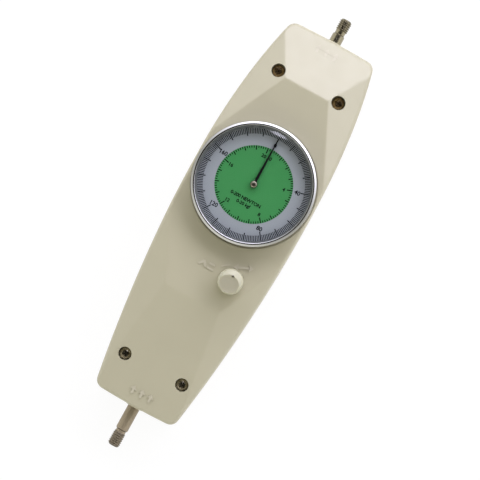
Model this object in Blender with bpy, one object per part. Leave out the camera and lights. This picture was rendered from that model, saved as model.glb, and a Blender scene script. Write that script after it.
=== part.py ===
"""Analogue push-pull force gauge, lying on its back.

+Z points out of the dial, +Y toward the pull end and +X to the dial's right.
The origin lies on the resting face, under the middle of the part's box.
Lengths are in metres. Every piece is drawn where it sits in the assembly.
"""
import math

import bmesh
import bpy
from mathutils import Matrix, Vector

MM = 0.001

# Clearances
GAP = 0.3 * MM
FIT = 0.2 * MM
RUNNING = 0.1 * MM
OVERRUN = 2.0 * MM

# Housing outline
HALF_WIDTH = 30.25 * MM
WIDEST_Y = 20.0 * MM
PULL_END_Y = 101.9 * MM
PUSH_END_Y = -93.4 * MM
PULL_TAPER = 8.8 * MM
PUSH_TAPER = 9.4 * MM
PULL_TAPER_POWER_SHARE = 2.5
PUSH_TAPER_POWER_SHARE = 1.95
CORNER_RADIUS = 4.5 * MM
END_BULGE = 0.7 * MM
WALL = 2.4 * MM
RIM_ROUND = 1.6 * MM
BACK_ROUND = 3.0 * MM

# Housing heights and the facets of its front
ROD_Z = 19.0 * MM
FRONT_DEPTH = 22.0 * MM
PULL_FALL = 12.4 * MM
PUSH_FALL = 12.7 * MM
PULL_FACET_LENGTH = 27.0 * MM
PULL_RIDGE_HALF = 11.3 * MM
PULL_CREASE_LENGTH = 66.0 * MM
PULL_CORNER_OUT = 0.75 * MM
PULL_CORNER_INSET_Y = 7.4 * MM
PUSH_FACET_LENGTH = 58.1 * MM
PUSH_RIDGE_HALF = 14.3 * MM
PUSH_CREASE_LENGTH = 91.9 * MM
PUSH_CORNER_OUT = 0.75 * MM
PUSH_CORNER_INSET_Y = 6.1 * MM

# Collars where the rod leaves the housing
COLLAR_BASE_RADIUS = 7.3 * MM
COLLAR_TOP_RADIUS = 4.2 * MM
COLLAR_HEIGHT = 0.8 * MM
ROD_HOLE_CLEARANCE = 0.5 * MM

# Cover screws and the posts that they draw together
PULL_SCREW_X = 15.8 * MM
PULL_SCREW_INSET = 25.2 * MM
PUSH_SCREW_X = 15.2 * MM
PUSH_SCREW_INSET = 20.3 * MM
POST_RADIUS = 4.8 * MM
WELL_RADIUS = 3.35 * MM
WELL_DEPTH = 4.8 * MM
COVER_SCREW_RADIUS = 1.5 * MM
COVER_HEAD_RADIUS = 2.9 * MM
COVER_HEAD_HEIGHT = 1.9 * MM
COVER_SCREW_REACH = 10.0 * MM
CROSS_LENGTH = 3.0 * MM
CROSS_WIDTH = 0.75 * MM
CROSS_DEPTH = 1.2 * MM

# Measuring rod
ROD_RADIUS = 3.0 * MM
PULL_REACH = 13.1 * MM
PUSH_REACH = 21.6 * MM
THREAD_PITCH = 1.0 * MM
THREAD_DEPTH = 0.45 * MM
THREAD_RELIEF = 0.07 * MM
PULL_THREAD = 4.6 * MM
PUSH_THREAD = 5.6 * MM
NECK_DEPTH = 0.65 * MM
NECK_LENGTH = 2.2 * MM
TIP_CHAMFER = 0.9 * MM
SHOULDER_CHAMFER = 0.4 * MM
TRAVEL = 10.0 * MM
SPIGOT_RADIUS = 2.0 * MM
SPIGOT_LENGTH = 8.0 * MM

# Slide bar between the two rods
BAR_HALF_WIDTH = 5.0 * MM
BAR_HALF_HEIGHT = 2.5 * MM
BAR_PUSH_Y = -8.0 * MM
BAR_PULL_Y = 56.0 * MM

# Dial position and gear train
DIAL_Y = 24.5 * MM
GEAR_MODULE = 0.5 * MM
RACK_PINION_TEETH = 20
WHEEL_TEETH = 44
CENTRE_PINION_TEETH = 14
RACK_PITCH_X = -6.0 * MM
ADDENDUM_SHARE = 0.8
DEDENDUM_SHARE = 1.15
TOOTH_THINNING = 0.1 * MM
PRESSURE_ANGLE = math.radians(20)
RACK_THICKNESS = 3.0 * MM
RACK_DEPTH = 5.0 * MM
RACK_END_MARGIN = 4.0 * MM
RACK_LAND = 0.4 * MM
WHEEL_THICKNESS = 1.2 * MM
CENTRE_PINION_THICKNESS = 2.2 * MM
ARBOR_RADIUS = 1.0 * MM
ARBOR_SHOULDER = 0.4 * MM

# Chassis
CHASSIS_BELOW_ROD = 10.0 * MM
CHASSIS_THICKNESS = 2.0 * MM
CHASSIS_SIDE_CLEARANCE = 0.6 * MM
CHASSIS_PUSH_INSET = 53.4 * MM
CHASSIS_PULL_INSET = 39.9 * MM
EAR_HALF_WIDTH = 9.3 * MM
EAR_THICKNESS = 2.0 * MM
EAR_HEADROOM = 1.0 * MM
PULL_EAR_INSET = 15.9 * MM
PUSH_EAR_INSET = 9.4 * MM
CHASSIS_SCREW_INSET = 5.5 * MM
CHASSIS_POST_RADIUS = 3.4 * MM
SMALL_SCREW_RADIUS = 1.2 * MM
SMALL_HEAD_RADIUS = 2.2 * MM
SMALL_HEAD_HEIGHT = 1.4 * MM
SMALL_SCREW_LENGTH = 5.0 * MM
TINY_SCREW_RADIUS = 0.8 * MM
TINY_HEAD_RADIUS = 1.5 * MM
TINY_HEAD_HEIGHT = 0.9 * MM
TINY_SCREW_LENGTH = 2.6 * MM
SOCKET_SHARE = 0.5

# Bushes in the chassis ears
BUSH_WALL = 1.3 * MM
BUSH_FLANGE = 1.7 * MM
BUSH_FLANGE_THICKNESS = 1.5 * MM
BUSH_NOSE = 2.0 * MM

# Main spring, its collar and its bracket
COLLAR_RING_RADIUS = 7.2 * MM
COLLAR_RING_THICKNESS = 3.0 * MM
SPRING_BAY = 57.3 * MM
BRACKET_THICKNESS = 2.5 * MM
BRACKET_HALF_WIDTH = 8.0 * MM
BRACKET_HEIGHT = 14.5 * MM
BRACKET_FOOT = 11.0 * MM
BRACKET_FOOT_THICKNESS = 2.0 * MM
BRACKET_SCREW_X = 5.3 * MM
SPRING_WIRE_RADIUS = 1.1 * MM
SPRING_RADIUS = 5.7 * MM
SPRING_TURNS = 9
SPRING_END_GAP = 0.5 * MM
SPRING_POINTS_PER_TURN = 12

# Guide that keeps the slide bar from turning
GUIDE_Y = 44.0 * MM
GUIDE_LENGTH = 8.0 * MM
GUIDE_WALL = 3.2 * MM
GUIDE_FLOOR = 2.0 * MM
GUIDE_HEIGHT = 8.6 * MM

# Movement plates and pillars
RACK_ROOM = 1.3 * MM
PLATE_ROOM = 4.4 * MM
PLATE_THICKNESS = 1.2 * MM
PILLAR_RADIUS = 2.2 * MM
PILLAR_OUT = 7.5 * MM
PILLAR_ALONG = 12.9 * MM
PILLAR_RIGHT = 14.0 * MM
PLATE_MARGIN = 3.4 * MM
SPACER_RADIUS = 2.4 * MM
PLATE_SCREW_GRIP = 3.0 * MM

# Hairspring
HAIRSPRING_TURNS = 4
HAIRSPRING_POINTS_PER_TURN = 16
HAIRSPRING_INNER = 2.0 * MM
HAIRSPRING_OUTER = 8.0 * MM
HAIRSPRING_WIRE = 0.22 * MM
HAIRSPRING_RISE = 1.4 * MM
STUD_RADIUS = 0.7 * MM
COLLET_RADIUS = 1.5 * MM
COLLET_THICKNESS = 1.2 * MM

# Dial and bezel
BEZEL_RADIUS = 29.0 * MM
BEZEL_WALL = 1.3 * MM
BEZEL_LIP = 0.8 * MM
BEZEL_LIP_THICKNESS = 0.7 * MM
BEZEL_ROUND = 0.5 * MM
CASE_FOOT = 1.1 * MM
CASE_FLANGE = 0.9 * MM
CASE_STEP = 1.2 * MM
CASE_HOLE_RADIUS = 2.2 * MM
DIAL_THICKNESS = 0.6 * MM
DIAL_HOLE_RADIUS = 1.5 * MM
DIAL_RING_HEIGHT = 2.3 * MM
DIAL_RING_WIDTH = 1.3 * MM
CRYSTAL_THICKNESS = 1.1 * MM
COVER_HOLE_RADIUS = 9.0 * MM
CASE_SCREW_CIRCLE = 17.0 * MM
CASE_SCREW_COUNT = 3

# Pointer
POINTER_TIP_ROOM = 2.3 * MM
POINTER_ROOT_HALF = 0.7 * MM
POINTER_TIP_HALF = 0.3 * MM
POINTER_THICKNESS = 0.45 * MM
POINTER_RING_RADIUS = 1.9 * MM
HUB_RADIUS = 1.6 * MM
HUB_HEIGHT = 1.0 * MM

# Selector knob with its spindle and cam
SELECTOR_X = 12.2 * MM
SELECTOR_Y = -19.7 * MM
KNOB_RADIUS = 6.05 * MM
KNOB_TOP_RADIUS = 5.6 * MM
KNOB_HEIGHT = 8.7 * MM
KNOB_ROUND = 1.2 * MM
KNOB_DISH_RADIUS = 4.3 * MM
KNOB_DISH_DEPTH = 0.3 * MM
KNOB_DOT_RADIUS = 0.55 * MM
KNOB_DOT_OFFSET = 2.6 * MM
KNOB_DOT_DEPTH = 0.6 * MM
KNOB_ROOF = 2.7 * MM
SPINDLE_RADIUS = 1.9 * MM
CAM_RADIUS = 3.2 * MM
CAM_THROW = 1.0 * MM
CAM_BELOW_ROD = 2.0 * MM
CAM_THICKNESS = 3.5 * MM

# Hold pawl and the ratchet strip on the slide bar
PAWL_OUT = 0.3 * MM
PAWL_TAIL = 14.7 * MM
PAWL_REACH = 11.0 * MM
PAWL_THICKNESS = 2.5 * MM
PAWL_ARM_HALF = 1.2 * MM
PAWL_BOSS_RADIUS = 3.0 * MM
PAWL_PIN_RADIUS = 1.5 * MM
PAWL_LIFT = 0.7 * MM
RATCHET_THICKNESS = 1.8 * MM
RATCHET_TOOTH = 0.5 * MM
RATCHET_PITCH = 1.0 * MM
RATCHET_MARGIN = 2.0 * MM
RATCHET_HALF_HEIGHT = 1.6 * MM
LEAF_THICKNESS = 0.4 * MM
LEAF_LENGTH = 9.0 * MM

# Facet counts
BEZEL_SEGMENTS = 64
ROUND_SEGMENTS = 36
SMALL_SEGMENTS = 16
TINY_SEGMENTS = 10
SIDE_STATIONS = 10
END_STATIONS = 4
CORNER_STEPS = 4
FLANK_STEPS = 1

# Levels worked out from the sizes above
SEAM_HALF = GAP / 2
FRONT_Z = ROD_Z + FRONT_DEPTH
PULL_RIDGE_Y = PULL_END_Y - PULL_FACET_LENGTH
PULL_CREASE_Y = PULL_END_Y - PULL_CREASE_LENGTH
PULL_CORNER_Y = PULL_END_Y - PULL_CORNER_INSET_Y
PULL_SCREW_Y = PULL_END_Y - PULL_SCREW_INSET
PULL_EAR_Y = PULL_END_Y - PULL_EAR_INSET
PULL_TIP_Y = PULL_END_Y + PULL_REACH
PUSH_RIDGE_Y = PUSH_END_Y + PUSH_FACET_LENGTH
PUSH_CREASE_Y = PUSH_END_Y + PUSH_CREASE_LENGTH
PUSH_CORNER_Y = PUSH_END_Y + PUSH_CORNER_INSET_Y
PUSH_SCREW_Y = PUSH_END_Y + PUSH_SCREW_INSET
PUSH_EAR_Y = PUSH_END_Y + PUSH_EAR_INSET
PUSH_TIP_Y = PUSH_END_Y - PUSH_REACH
THREAD_CREST_RADIUS = ROD_RADIUS - THREAD_RELIEF
NECK_RADIUS = ROD_RADIUS - NECK_DEPTH
CHASSIS_LOW_Z = ROD_Z - CHASSIS_BELOW_ROD
CHASSIS_TOP_Z = CHASSIS_LOW_Z + CHASSIS_THICKNESS
ON_CHASSIS_Z = CHASSIS_TOP_Z + GAP
CHASSIS_WIDE_PUSH_Y = PUSH_END_Y + CHASSIS_PUSH_INSET
CHASSIS_WIDE_PULL_Y = PULL_END_Y - CHASSIS_PULL_INSET
BRACKET_Y = PUSH_EAR_Y + SPRING_BAY
BAR_TOP_Z = ROD_Z + BAR_HALF_HEIGHT
RACK_LOW_Z = BAR_TOP_Z + FIT
LOWER_PLATE_Z = RACK_LOW_Z + RACK_THICKNESS + RACK_ROOM
UPPER_PLATE_Z = LOWER_PLATE_Z + PLATE_THICKNESS + PLATE_ROOM
HAIRSPRING_Z = UPPER_PLATE_Z + PLATE_THICKNESS + HAIRSPRING_RISE
RACK_PINION_RADIUS = GEAR_MODULE * RACK_PINION_TEETH / 2
WHEEL_RADIUS = GEAR_MODULE * WHEEL_TEETH / 2
CENTRE_PINION_RADIUS = GEAR_MODULE * CENTRE_PINION_TEETH / 2
TOOTH_PITCH = math.pi * GEAR_MODULE
WHEEL_X = RACK_PITCH_X - RACK_PINION_RADIUS
GEAR_CENTRES = WHEEL_RADIUS + CENTRE_PINION_RADIUS
WHEEL_Y = DIAL_Y - math.sqrt(GEAR_CENTRES**2 - WHEEL_X**2)
WHEEL_LOW_Z = LOWER_PLATE_Z + PLATE_THICKNESS + 2 * GAP
CENTRE_PINION_LOW_Z = WHEEL_LOW_Z + (WHEEL_THICKNESS - CENTRE_PINION_THICKNESS) / 2 + GAP
CASE_LOW_Z = FRONT_Z + GAP
CASE_FLANGE_Z = CASE_LOW_Z + CASE_FOOT
CASE_TOP_Z = CASE_FLANGE_Z + CASE_FLANGE
DIAL_LOW_Z = CASE_TOP_Z + GAP
DIAL_TOP_Z = DIAL_LOW_Z + DIAL_THICKNESS
RING_LOW_Z = DIAL_TOP_Z + GAP
RING_TOP_Z = RING_LOW_Z + DIAL_RING_HEIGHT
CRYSTAL_LOW_Z = RING_TOP_Z + GAP
LIP_LOW_Z = CRYSTAL_LOW_Z + CRYSTAL_THICKNESS + GAP
BEZEL_TOP_Z = LIP_LOW_Z + BEZEL_LIP_THICKNESS
BEZEL_BORE_RADIUS = BEZEL_RADIUS - BEZEL_WALL
INSIDE_BEZEL_RADIUS = BEZEL_BORE_RADIUS - GAP
RING_BORE_RADIUS = INSIDE_BEZEL_RADIUS - DIAL_RING_WIDTH
POINTER_LENGTH = RING_BORE_RADIUS - POINTER_TIP_ROOM
POINTER_LOW_Z = DIAL_TOP_Z + GAP + FIT
POINTER_TOP_Z = POINTER_LOW_Z + POINTER_THICKNESS
BUSH_OUTER_RADIUS = ROD_RADIUS + RUNNING + BUSH_WALL
BUSH_FLANGE_RADIUS = BUSH_OUTER_RADIUS + BUSH_FLANGE
COLLAR_RING_Y = PUSH_EAR_Y + EAR_THICKNESS + GAP + BUSH_FLANGE_THICKNESS + GAP
KNOB_LOW_Z = FRONT_Z + GAP
KNOB_TOP_Z = KNOB_LOW_Z + KNOB_HEIGHT
CAM_LOW_Z = ROD_Z - CAM_BELOW_ROD
PAWL_X = SELECTOR_X + PAWL_OUT
PAWL_Y = SELECTOR_Y + PAWL_TAIL
PAWL_TOOTH_Y = PAWL_Y + PAWL_REACH
PILLAR_PLACES = (
    (WHEEL_X - PILLAR_OUT, WHEEL_Y - PILLAR_ALONG),
    (WHEEL_X - PILLAR_OUT, WHEEL_Y + PILLAR_ALONG),
    (PILLAR_RIGHT, DIAL_Y),
)


def clear_scene():
    """Empties the file of objects."""
    for thing in list(bpy.data.objects):
        bpy.data.objects.remove(thing, do_unlink=True)


def finish(name, colour, roughness, metallic=0.0):
    """A plain Principled material."""
    made = bpy.data.materials.new(name)
    made.use_nodes = True
    shader = made.node_tree.nodes["Principled BSDF"]
    shader.inputs["Base Color"].default_value = (*colour, 1.0)
    shader.inputs["Roughness"].default_value = roughness
    shader.inputs["Metallic"].default_value = metallic
    return made


def piece(name, shape, material, origin=(0.0, 0.0, 0.0)):
    """Turns a bmesh drawn in place into an object whose origin lies at the given point."""
    bmesh.ops.recalc_face_normals(shape, faces=shape.faces)
    mesh = bpy.data.meshes.new(name)
    shape.to_mesh(mesh)
    shape.free()
    mesh.transform(Matrix.Translation(-Vector(origin)))
    mesh.shade_smooth()
    mesh.set_sharp_from_angle(angle=math.radians(30))
    thing = bpy.data.objects.new(name, mesh)
    thing.location = origin
    if material:
        mesh.materials.append(material)
    bpy.context.collection.objects.link(thing)
    return thing


def combine(target, tool_shape, operation, name):
    """Adds a Boolean modifier that uses a hidden wire tool."""
    tool = piece(name, tool_shape, None)
    tool.hide_render = True
    tool.display_type = "WIRE"
    modifier = target.modifiers.new(name, "BOOLEAN")
    modifier.operation = operation
    modifier.solver = "EXACT"
    modifier.object = tool
    return tool


def turn(shape, profile, segments, along="Z", centre=(0.0, 0.0), hollow=False):
    """Adds a solid of revolution. The profile holds (radius, height along the axis) pairs."""
    step = 2 * math.pi / segments
    rings = []
    for radius, height in profile:
        spokes = [0] if radius == 0 else range(segments)
        ring = []
        for spoke in spokes:
            across = radius * math.cos(spoke * step) + centre[0]
            aside = radius * math.sin(spoke * step) + centre[1]
            spot = (across, aside, height) if along == "Z" else (across, height, aside)
            ring.append(shape.verts.new(spot))
        rings.append(ring)
    pairs = list(zip(rings, rings[1:]))
    if hollow:
        pairs.append((rings[-1], rings[0]))
    for low, high in pairs:
        for spoke in range(segments):
            corners = [
                low[spoke % len(low)],
                low[(spoke + 1) % len(low)],
                high[(spoke + 1) % len(high)],
                high[spoke % len(high)],
            ]
            unlike = list(dict.fromkeys(corners))
            if len(unlike) > 2:
                shape.faces.new(unlike)
    return shape


def drum(shape, radius, low, high, segments=SMALL_SEGMENTS, along="Z", centre=(0.0, 0.0)):
    """Adds a plain cylinder."""
    return turn(shape, [(0, low), (radius, low), (radius, high), (0, high)], segments, along, centre)


def ring_profile(inner, outer, low, high):
    """The closed profile of a plain ring."""
    return [(inner, low), (outer, low), (outer, high), (inner, high)]


def prism(shape, outline, low, high):
    """Adds an upright prism over an outline of (x, y) points."""
    bottom = [shape.verts.new((x, y, low)) for x, y in outline]
    top = [shape.verts.new((x, y, high)) for x, y in outline]
    shape.faces.new(bottom)
    shape.faces.new(top)
    count = len(outline)
    for i in range(count):
        j = (i + 1) % count
        shape.faces.new((bottom[i], bottom[j], top[j], top[i]))
    return shape


def block(shape, low, high):
    """Adds a box between two corners."""
    outline = [(low[0], low[1]), (high[0], low[1]), (high[0], high[1]), (low[0], high[1])]
    return prism(shape, outline, low[2], high[2])


def half_width(y):
    """Half the housing's width at a place along it."""
    if y > WIDEST_Y:
        share = (y - WIDEST_Y) / (PULL_END_Y - WIDEST_Y)
        return HALF_WIDTH - PULL_TAPER * share**PULL_TAPER_POWER_SHARE
    share = (WIDEST_Y - y) / (WIDEST_Y - PUSH_END_Y)
    return HALF_WIDTH - PUSH_TAPER * share**PUSH_TAPER_POWER_SHARE


def core_outline():
    """The housing outline drawn in by the corner radius, so that growing it rounds the corners."""
    low = PUSH_END_Y + CORNER_RADIUS + END_BULGE
    high = PULL_END_Y - CORNER_RADIUS - END_BULGE
    points = []
    for i in range(SIDE_STATIONS + 1):
        y = low + (high - low) * i / SIDE_STATIONS
        points.append((half_width(y) - CORNER_RADIUS, y))
    pull_corner = points[-1][0]
    for i in range(1, END_STATIONS):
        share = 1 - 2 * i / END_STATIONS
        points.append((pull_corner * share, high + END_BULGE * (1 - share**2)))
    points += [(-x, y) for x, y in reversed(points[: SIDE_STATIONS + 1])]
    push_corner = points[0][0]
    for i in range(1, END_STATIONS):
        share = 2 * i / END_STATIONS - 1
        points.append((push_corner * share, low - END_BULGE * (1 - share**2)))
    return points


def grown(core, distance):
    """Offsets a convex outline outward, with an arc round each real corner."""
    outline = []
    count = len(core)
    for i in range(count):
        before, here, after = (Vector(core[(i + k) % count]) for k in (-1, 0, 1))
        into, out = (here - before).normalized(), (after - here).normalized()
        turned = into.angle_signed(out)
        sweep = abs(turned)
        steps = CORNER_STEPS if sweep > math.radians(30) else 0
        start = math.atan2(into.y, into.x) - math.pi / 2
        if steps == 0:
            angle = start + sweep / 2
            outline.append((here.x + distance * math.cos(angle), here.y + distance * math.sin(angle)))
            continue
        for k in range(steps + 1):
            angle = start + sweep * k / steps
            outline.append((here.x + distance * math.cos(angle), here.y + distance * math.sin(angle)))
    return outline


def upward_plane(first, second, third):
    """A plane through three points, with its normal up."""
    a, b, c = Vector(first), Vector(second), Vector(third)
    normal = (b - a).cross(c - a).normalized()
    if normal.z < 0:
        normal.negate()
    return a, normal


def front_facets():
    """The planes that slope away from the flat middle of the front."""
    pull_corner_z = FRONT_Z - PULL_FALL * (PULL_CORNER_Y - PULL_RIDGE_Y) / PULL_FACET_LENGTH
    push_corner_z = FRONT_Z - PUSH_FALL * (PUSH_RIDGE_Y - PUSH_CORNER_Y) / PUSH_FACET_LENGTH
    pull_corner_x = half_width(PULL_END_Y) + PULL_CORNER_OUT
    push_corner_x = half_width(PUSH_END_Y) + PUSH_CORNER_OUT
    facets = [
        upward_plane(
            (-PULL_RIDGE_HALF, PULL_RIDGE_Y, FRONT_Z),
            (PULL_RIDGE_HALF, PULL_RIDGE_Y, FRONT_Z),
            (0, PULL_END_Y, FRONT_Z - PULL_FALL),
        ),
        upward_plane(
            (-PUSH_RIDGE_HALF, PUSH_RIDGE_Y, FRONT_Z),
            (PUSH_RIDGE_HALF, PUSH_RIDGE_Y, FRONT_Z),
            (0, PUSH_END_Y, FRONT_Z - PUSH_FALL),
        ),
    ]
    for side in (-1, 1):
        facets.append(
            upward_plane(
                (side * PULL_RIDGE_HALF, PULL_RIDGE_Y, FRONT_Z),
                (side * half_width(PULL_CREASE_Y), PULL_CREASE_Y, FRONT_Z),
                (side * pull_corner_x, PULL_CORNER_Y, pull_corner_z),
            )
        )
        facets.append(
            upward_plane(
                (side * PUSH_RIDGE_HALF, PUSH_RIDGE_Y, FRONT_Z),
                (side * half_width(PUSH_CREASE_Y), PUSH_CREASE_Y, FRONT_Z),
                (side * push_corner_x, PUSH_CORNER_Y, push_corner_z),
            )
        )
    return facets


def front_height(x, y):
    """Height of the front's outer surface above the resting face."""
    height = FRONT_Z
    for point, normal in front_facets():
        fall = (normal.x * (x - point.x) + normal.y * (y - point.y)) / normal.z
        height = min(height, point.z - fall)
    return height


def faceted_body(inset, low, high):
    """The convex body under the front's facets, drawn in by an inset."""
    shape = bmesh.new()
    prism(shape, grown(core_outline(), CORNER_RADIUS - inset), low, high)
    for point, normal in front_facets():
        everything = shape.verts[:] + shape.edges[:] + shape.faces[:]
        cut = bmesh.ops.bisect_plane(
            shape, geom=everything, plane_co=point - normal * inset, plane_no=normal, clear_outer=True
        )
        edges = [part for part in cut["geom_cut"] if isinstance(part, bmesh.types.BMEdge)]
        bmesh.ops.edgeloop_fill(shape, edges=edges)
    return shape


def mark_rim(shape, upward):
    """Gives full bevel weight to the edges between the side wall and the faces above or below it."""
    bmesh.ops.recalc_face_normals(shape, faces=shape.faces)
    weight = shape.edges.layers.float.new("bevel_weight_edge")
    slant_share = 0.3
    for edge in shape.edges:
        heights = sorted(face.normal.z * upward for face in edge.link_faces)
        if len(heights) == 2 and abs(heights[0]) < slant_share / 2 and heights[1] > slant_share:
            edge[weight] = 1.0


def round_rim(thing, width):
    """Rounds the edges that carry bevel weight."""
    modifier = thing.modifiers.new("rim", "BEVEL")
    modifier.limit_method = "WEIGHT"
    modifier.width = width
    modifier.segments = 2


def cover_screw_places():
    """Places of the four cover screws, pull end first."""
    return [
        (-PULL_SCREW_X, PULL_SCREW_Y),
        (PULL_SCREW_X, PULL_SCREW_Y),
        (-PUSH_SCREW_X, PUSH_SCREW_Y),
        (PUSH_SCREW_X, PUSH_SCREW_Y),
    ]


def chassis_half_width():
    """Half the chassis's width, as much as the rear cover leaves at its narrower end."""
    narrower = min(half_width(CHASSIS_WIDE_PUSH_Y), half_width(CHASSIS_WIDE_PULL_Y))
    return narrower - WALL - CHASSIS_SIDE_CLEARANCE


def chassis_screw_places():
    """Places of the four screws that hold the chassis."""
    rows = (CHASSIS_WIDE_PUSH_Y + CHASSIS_SCREW_INSET, CHASSIS_WIDE_PULL_Y - CHASSIS_SCREW_INSET)
    x = chassis_half_width() - CHASSIS_SCREW_INSET
    return [(side * x, y) for y in rows for side in (-1, 1)]


def case_screw_places():
    """Places of the screws that hold the dial case."""
    places = []
    for i in range(CASE_SCREW_COUNT):
        angle = math.pi / 2 + 2 * math.pi * i / CASE_SCREW_COUNT
        places.append((CASE_SCREW_CIRCLE * math.cos(angle), DIAL_Y + CASE_SCREW_CIRCLE * math.sin(angle)))
    return places


def add_collars(shape, keep_above):
    """Adds the half collars at both ends, kept on one side of the rod's plane."""
    whole = bmesh.new()
    for end, way in ((PULL_END_Y, 1), (PUSH_END_Y, -1)):
        sunk = end - way * WALL / 2
        top = end + way * COLLAR_HEIGHT
        profile = [
            (0, sunk),
            (COLLAR_BASE_RADIUS, sunk),
            (COLLAR_BASE_RADIUS, end),
            (COLLAR_TOP_RADIUS, top),
            (0, top),
        ]
        turn(whole, profile, ROUND_SEGMENTS, "Y", (0, ROD_Z))
    side = 1 if keep_above else -1
    level = ROD_Z + side * SEAM_HALF
    everything = whole.verts[:] + whole.edges[:] + whole.faces[:]
    cut = bmesh.ops.bisect_plane(
        whole, geom=everything, plane_co=(0, 0, level), plane_no=(0, 0, -side), clear_outer=True
    )
    edges = [part for part in cut["geom_cut"] if isinstance(part, bmesh.types.BMEdge)]
    bmesh.ops.edgeloop_fill(whole, edges=edges)
    mesh = bpy.data.meshes.new("collars")
    whole.to_mesh(mesh)
    whole.free()
    shape.from_mesh(mesh)
    bpy.data.meshes.remove(mesh)
    return shape


def add_rod_holes(shape):
    """Adds the two cutters along the rod, one through each end wall."""
    radius = ROD_RADIUS + ROD_HOLE_CLEARANCE
    reach = WALL + COLLAR_HEIGHT + OVERRUN
    drum(shape, radius, PULL_END_Y - reach, PULL_END_Y + reach, SMALL_SEGMENTS, "Y", (0, ROD_Z))
    drum(shape, radius, PUSH_END_Y - reach, PUSH_END_Y + reach, SMALL_SEGMENTS, "Y", (0, ROD_Z))
    return shape


def make_front_cover(plastic):
    """The faceted front shell with its screw posts, dial opening and selector hole."""
    low = ROD_Z + SEAM_HALF
    body = faceted_body(0, low, FRONT_Z)
    mark_rim(body, 1)
    cover = piece("front_cover", body, plastic)
    round_rim(cover, RIM_ROUND)

    hollow = faceted_body(WALL, low - OVERRUN, FRONT_Z - WALL)
    cavity = combine(cover, hollow, "DIFFERENCE", "front_cavity_tool")
    posts = bmesh.new()
    for place in cover_screw_places():
        drum(posts, POST_RADIUS, low - 2 * OVERRUN, FRONT_Z + OVERRUN, SMALL_SEGMENTS, "Z", place)
    combine(cavity, posts, "DIFFERENCE", "front_posts_tool")

    combine(cover, add_collars(bmesh.new(), True), "UNION", "front_collars_tool")
    holes = add_rod_holes(bmesh.new())
    for x, y in cover_screw_places():
        shank = COVER_SCREW_RADIUS + FIT
        seat = front_height(x, y) - WELL_DEPTH
        top = FRONT_Z + OVERRUN
        profile = [(0, low - OVERRUN), (shank, low - OVERRUN), (shank, seat), (WELL_RADIUS, seat)]
        turn(holes, profile + [(WELL_RADIUS, top), (0, top)], SMALL_SEGMENTS, "Z", (x, y))
    roof = FRONT_Z - WALL - OVERRUN
    drum(holes, COVER_HOLE_RADIUS, roof, FRONT_Z + OVERRUN, ROUND_SEGMENTS, "Z", (0, DIAL_Y))
    above = FRONT_Z + OVERRUN
    drum(holes, SPINDLE_RADIUS + RUNNING, roof, above, SMALL_SEGMENTS, "Z", (SELECTOR_X, SELECTOR_Y))
    for place in case_screw_places():
        drum(holes, TINY_SCREW_RADIUS + FIT, roof, above, TINY_SEGMENTS, "Z", place)
    combine(cover, holes, "DIFFERENCE", "front_holes_tool")
    return cover


def make_rear_cover(plastic):
    """The flat-backed rear shell with posts for the cover screws and the chassis."""
    high = ROD_Z - SEAM_HALF
    body = bmesh.new()
    prism(body, grown(core_outline(), CORNER_RADIUS), 0, high)
    mark_rim(body, -1)
    cover = piece("rear_cover", body, plastic)
    round_rim(cover, BACK_ROUND)

    hollow = bmesh.new()
    prism(hollow, grown(core_outline(), CORNER_RADIUS - WALL), WALL, high + OVERRUN)
    cavity = combine(cover, hollow, "DIFFERENCE", "rear_cavity_tool")
    posts = bmesh.new()
    for place in cover_screw_places():
        drum(posts, POST_RADIUS, 0, high + 2 * OVERRUN, SMALL_SEGMENTS, "Z", place)
    for place in chassis_screw_places():
        drum(posts, CHASSIS_POST_RADIUS, 0, CHASSIS_LOW_Z - GAP, SMALL_SEGMENTS, "Z", place)
    combine(cavity, posts, "DIFFERENCE", "rear_posts_tool")

    combine(cover, add_collars(bmesh.new(), False), "UNION", "rear_collars_tool")
    holes = add_rod_holes(bmesh.new())
    for place in cover_screw_places():
        bottom = ROD_Z - COVER_SCREW_REACH - OVERRUN
        drum(holes, COVER_SCREW_RADIUS + FIT, bottom, high + OVERRUN, SMALL_SEGMENTS, "Z", place)
    for place in chassis_screw_places():
        drum(holes, SMALL_SCREW_RADIUS + FIT, WALL, CHASSIS_LOW_Z + OVERRUN, TINY_SEGMENTS, "Z", place)
    combine(cover, holes, "DIFFERENCE", "rear_holes_tool")
    return cover


def screw_profile(seat, way, shank, length, head, height):
    """Profile of a round-headed screw with a blind socket. Way is +1 where the head is above the seat."""
    crown = seat + way * height
    edge = height / 3
    socket = head * SOCKET_SHARE
    return [
        (0, seat - way * length),
        (shank, seat - way * length),
        (shank, seat),
        (head, seat),
        (head, crown - way * edge),
        (head - edge, crown),
        (socket, crown),
        (socket, crown - way * height / 2),
        (0, crown - way * height / 2),
    ]


def small_screw(name, place, seat, metal, way=1, tiny=False, length=None, origin=None):
    """A socket screw of one of the two inner sizes, standing on its seat."""
    shank = TINY_SCREW_RADIUS if tiny else SMALL_SCREW_RADIUS
    head = TINY_HEAD_RADIUS if tiny else SMALL_HEAD_RADIUS
    height = TINY_HEAD_HEIGHT if tiny else SMALL_HEAD_HEIGHT
    reach = length or (TINY_SCREW_LENGTH if tiny else SMALL_SCREW_LENGTH)
    shape = bmesh.new()
    profile = screw_profile(seat, way, shank, reach, head, height)
    turn(shape, profile, TINY_SEGMENTS, "Z", place)
    return piece(name, shape, metal, origin or (*place, seat))


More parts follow.
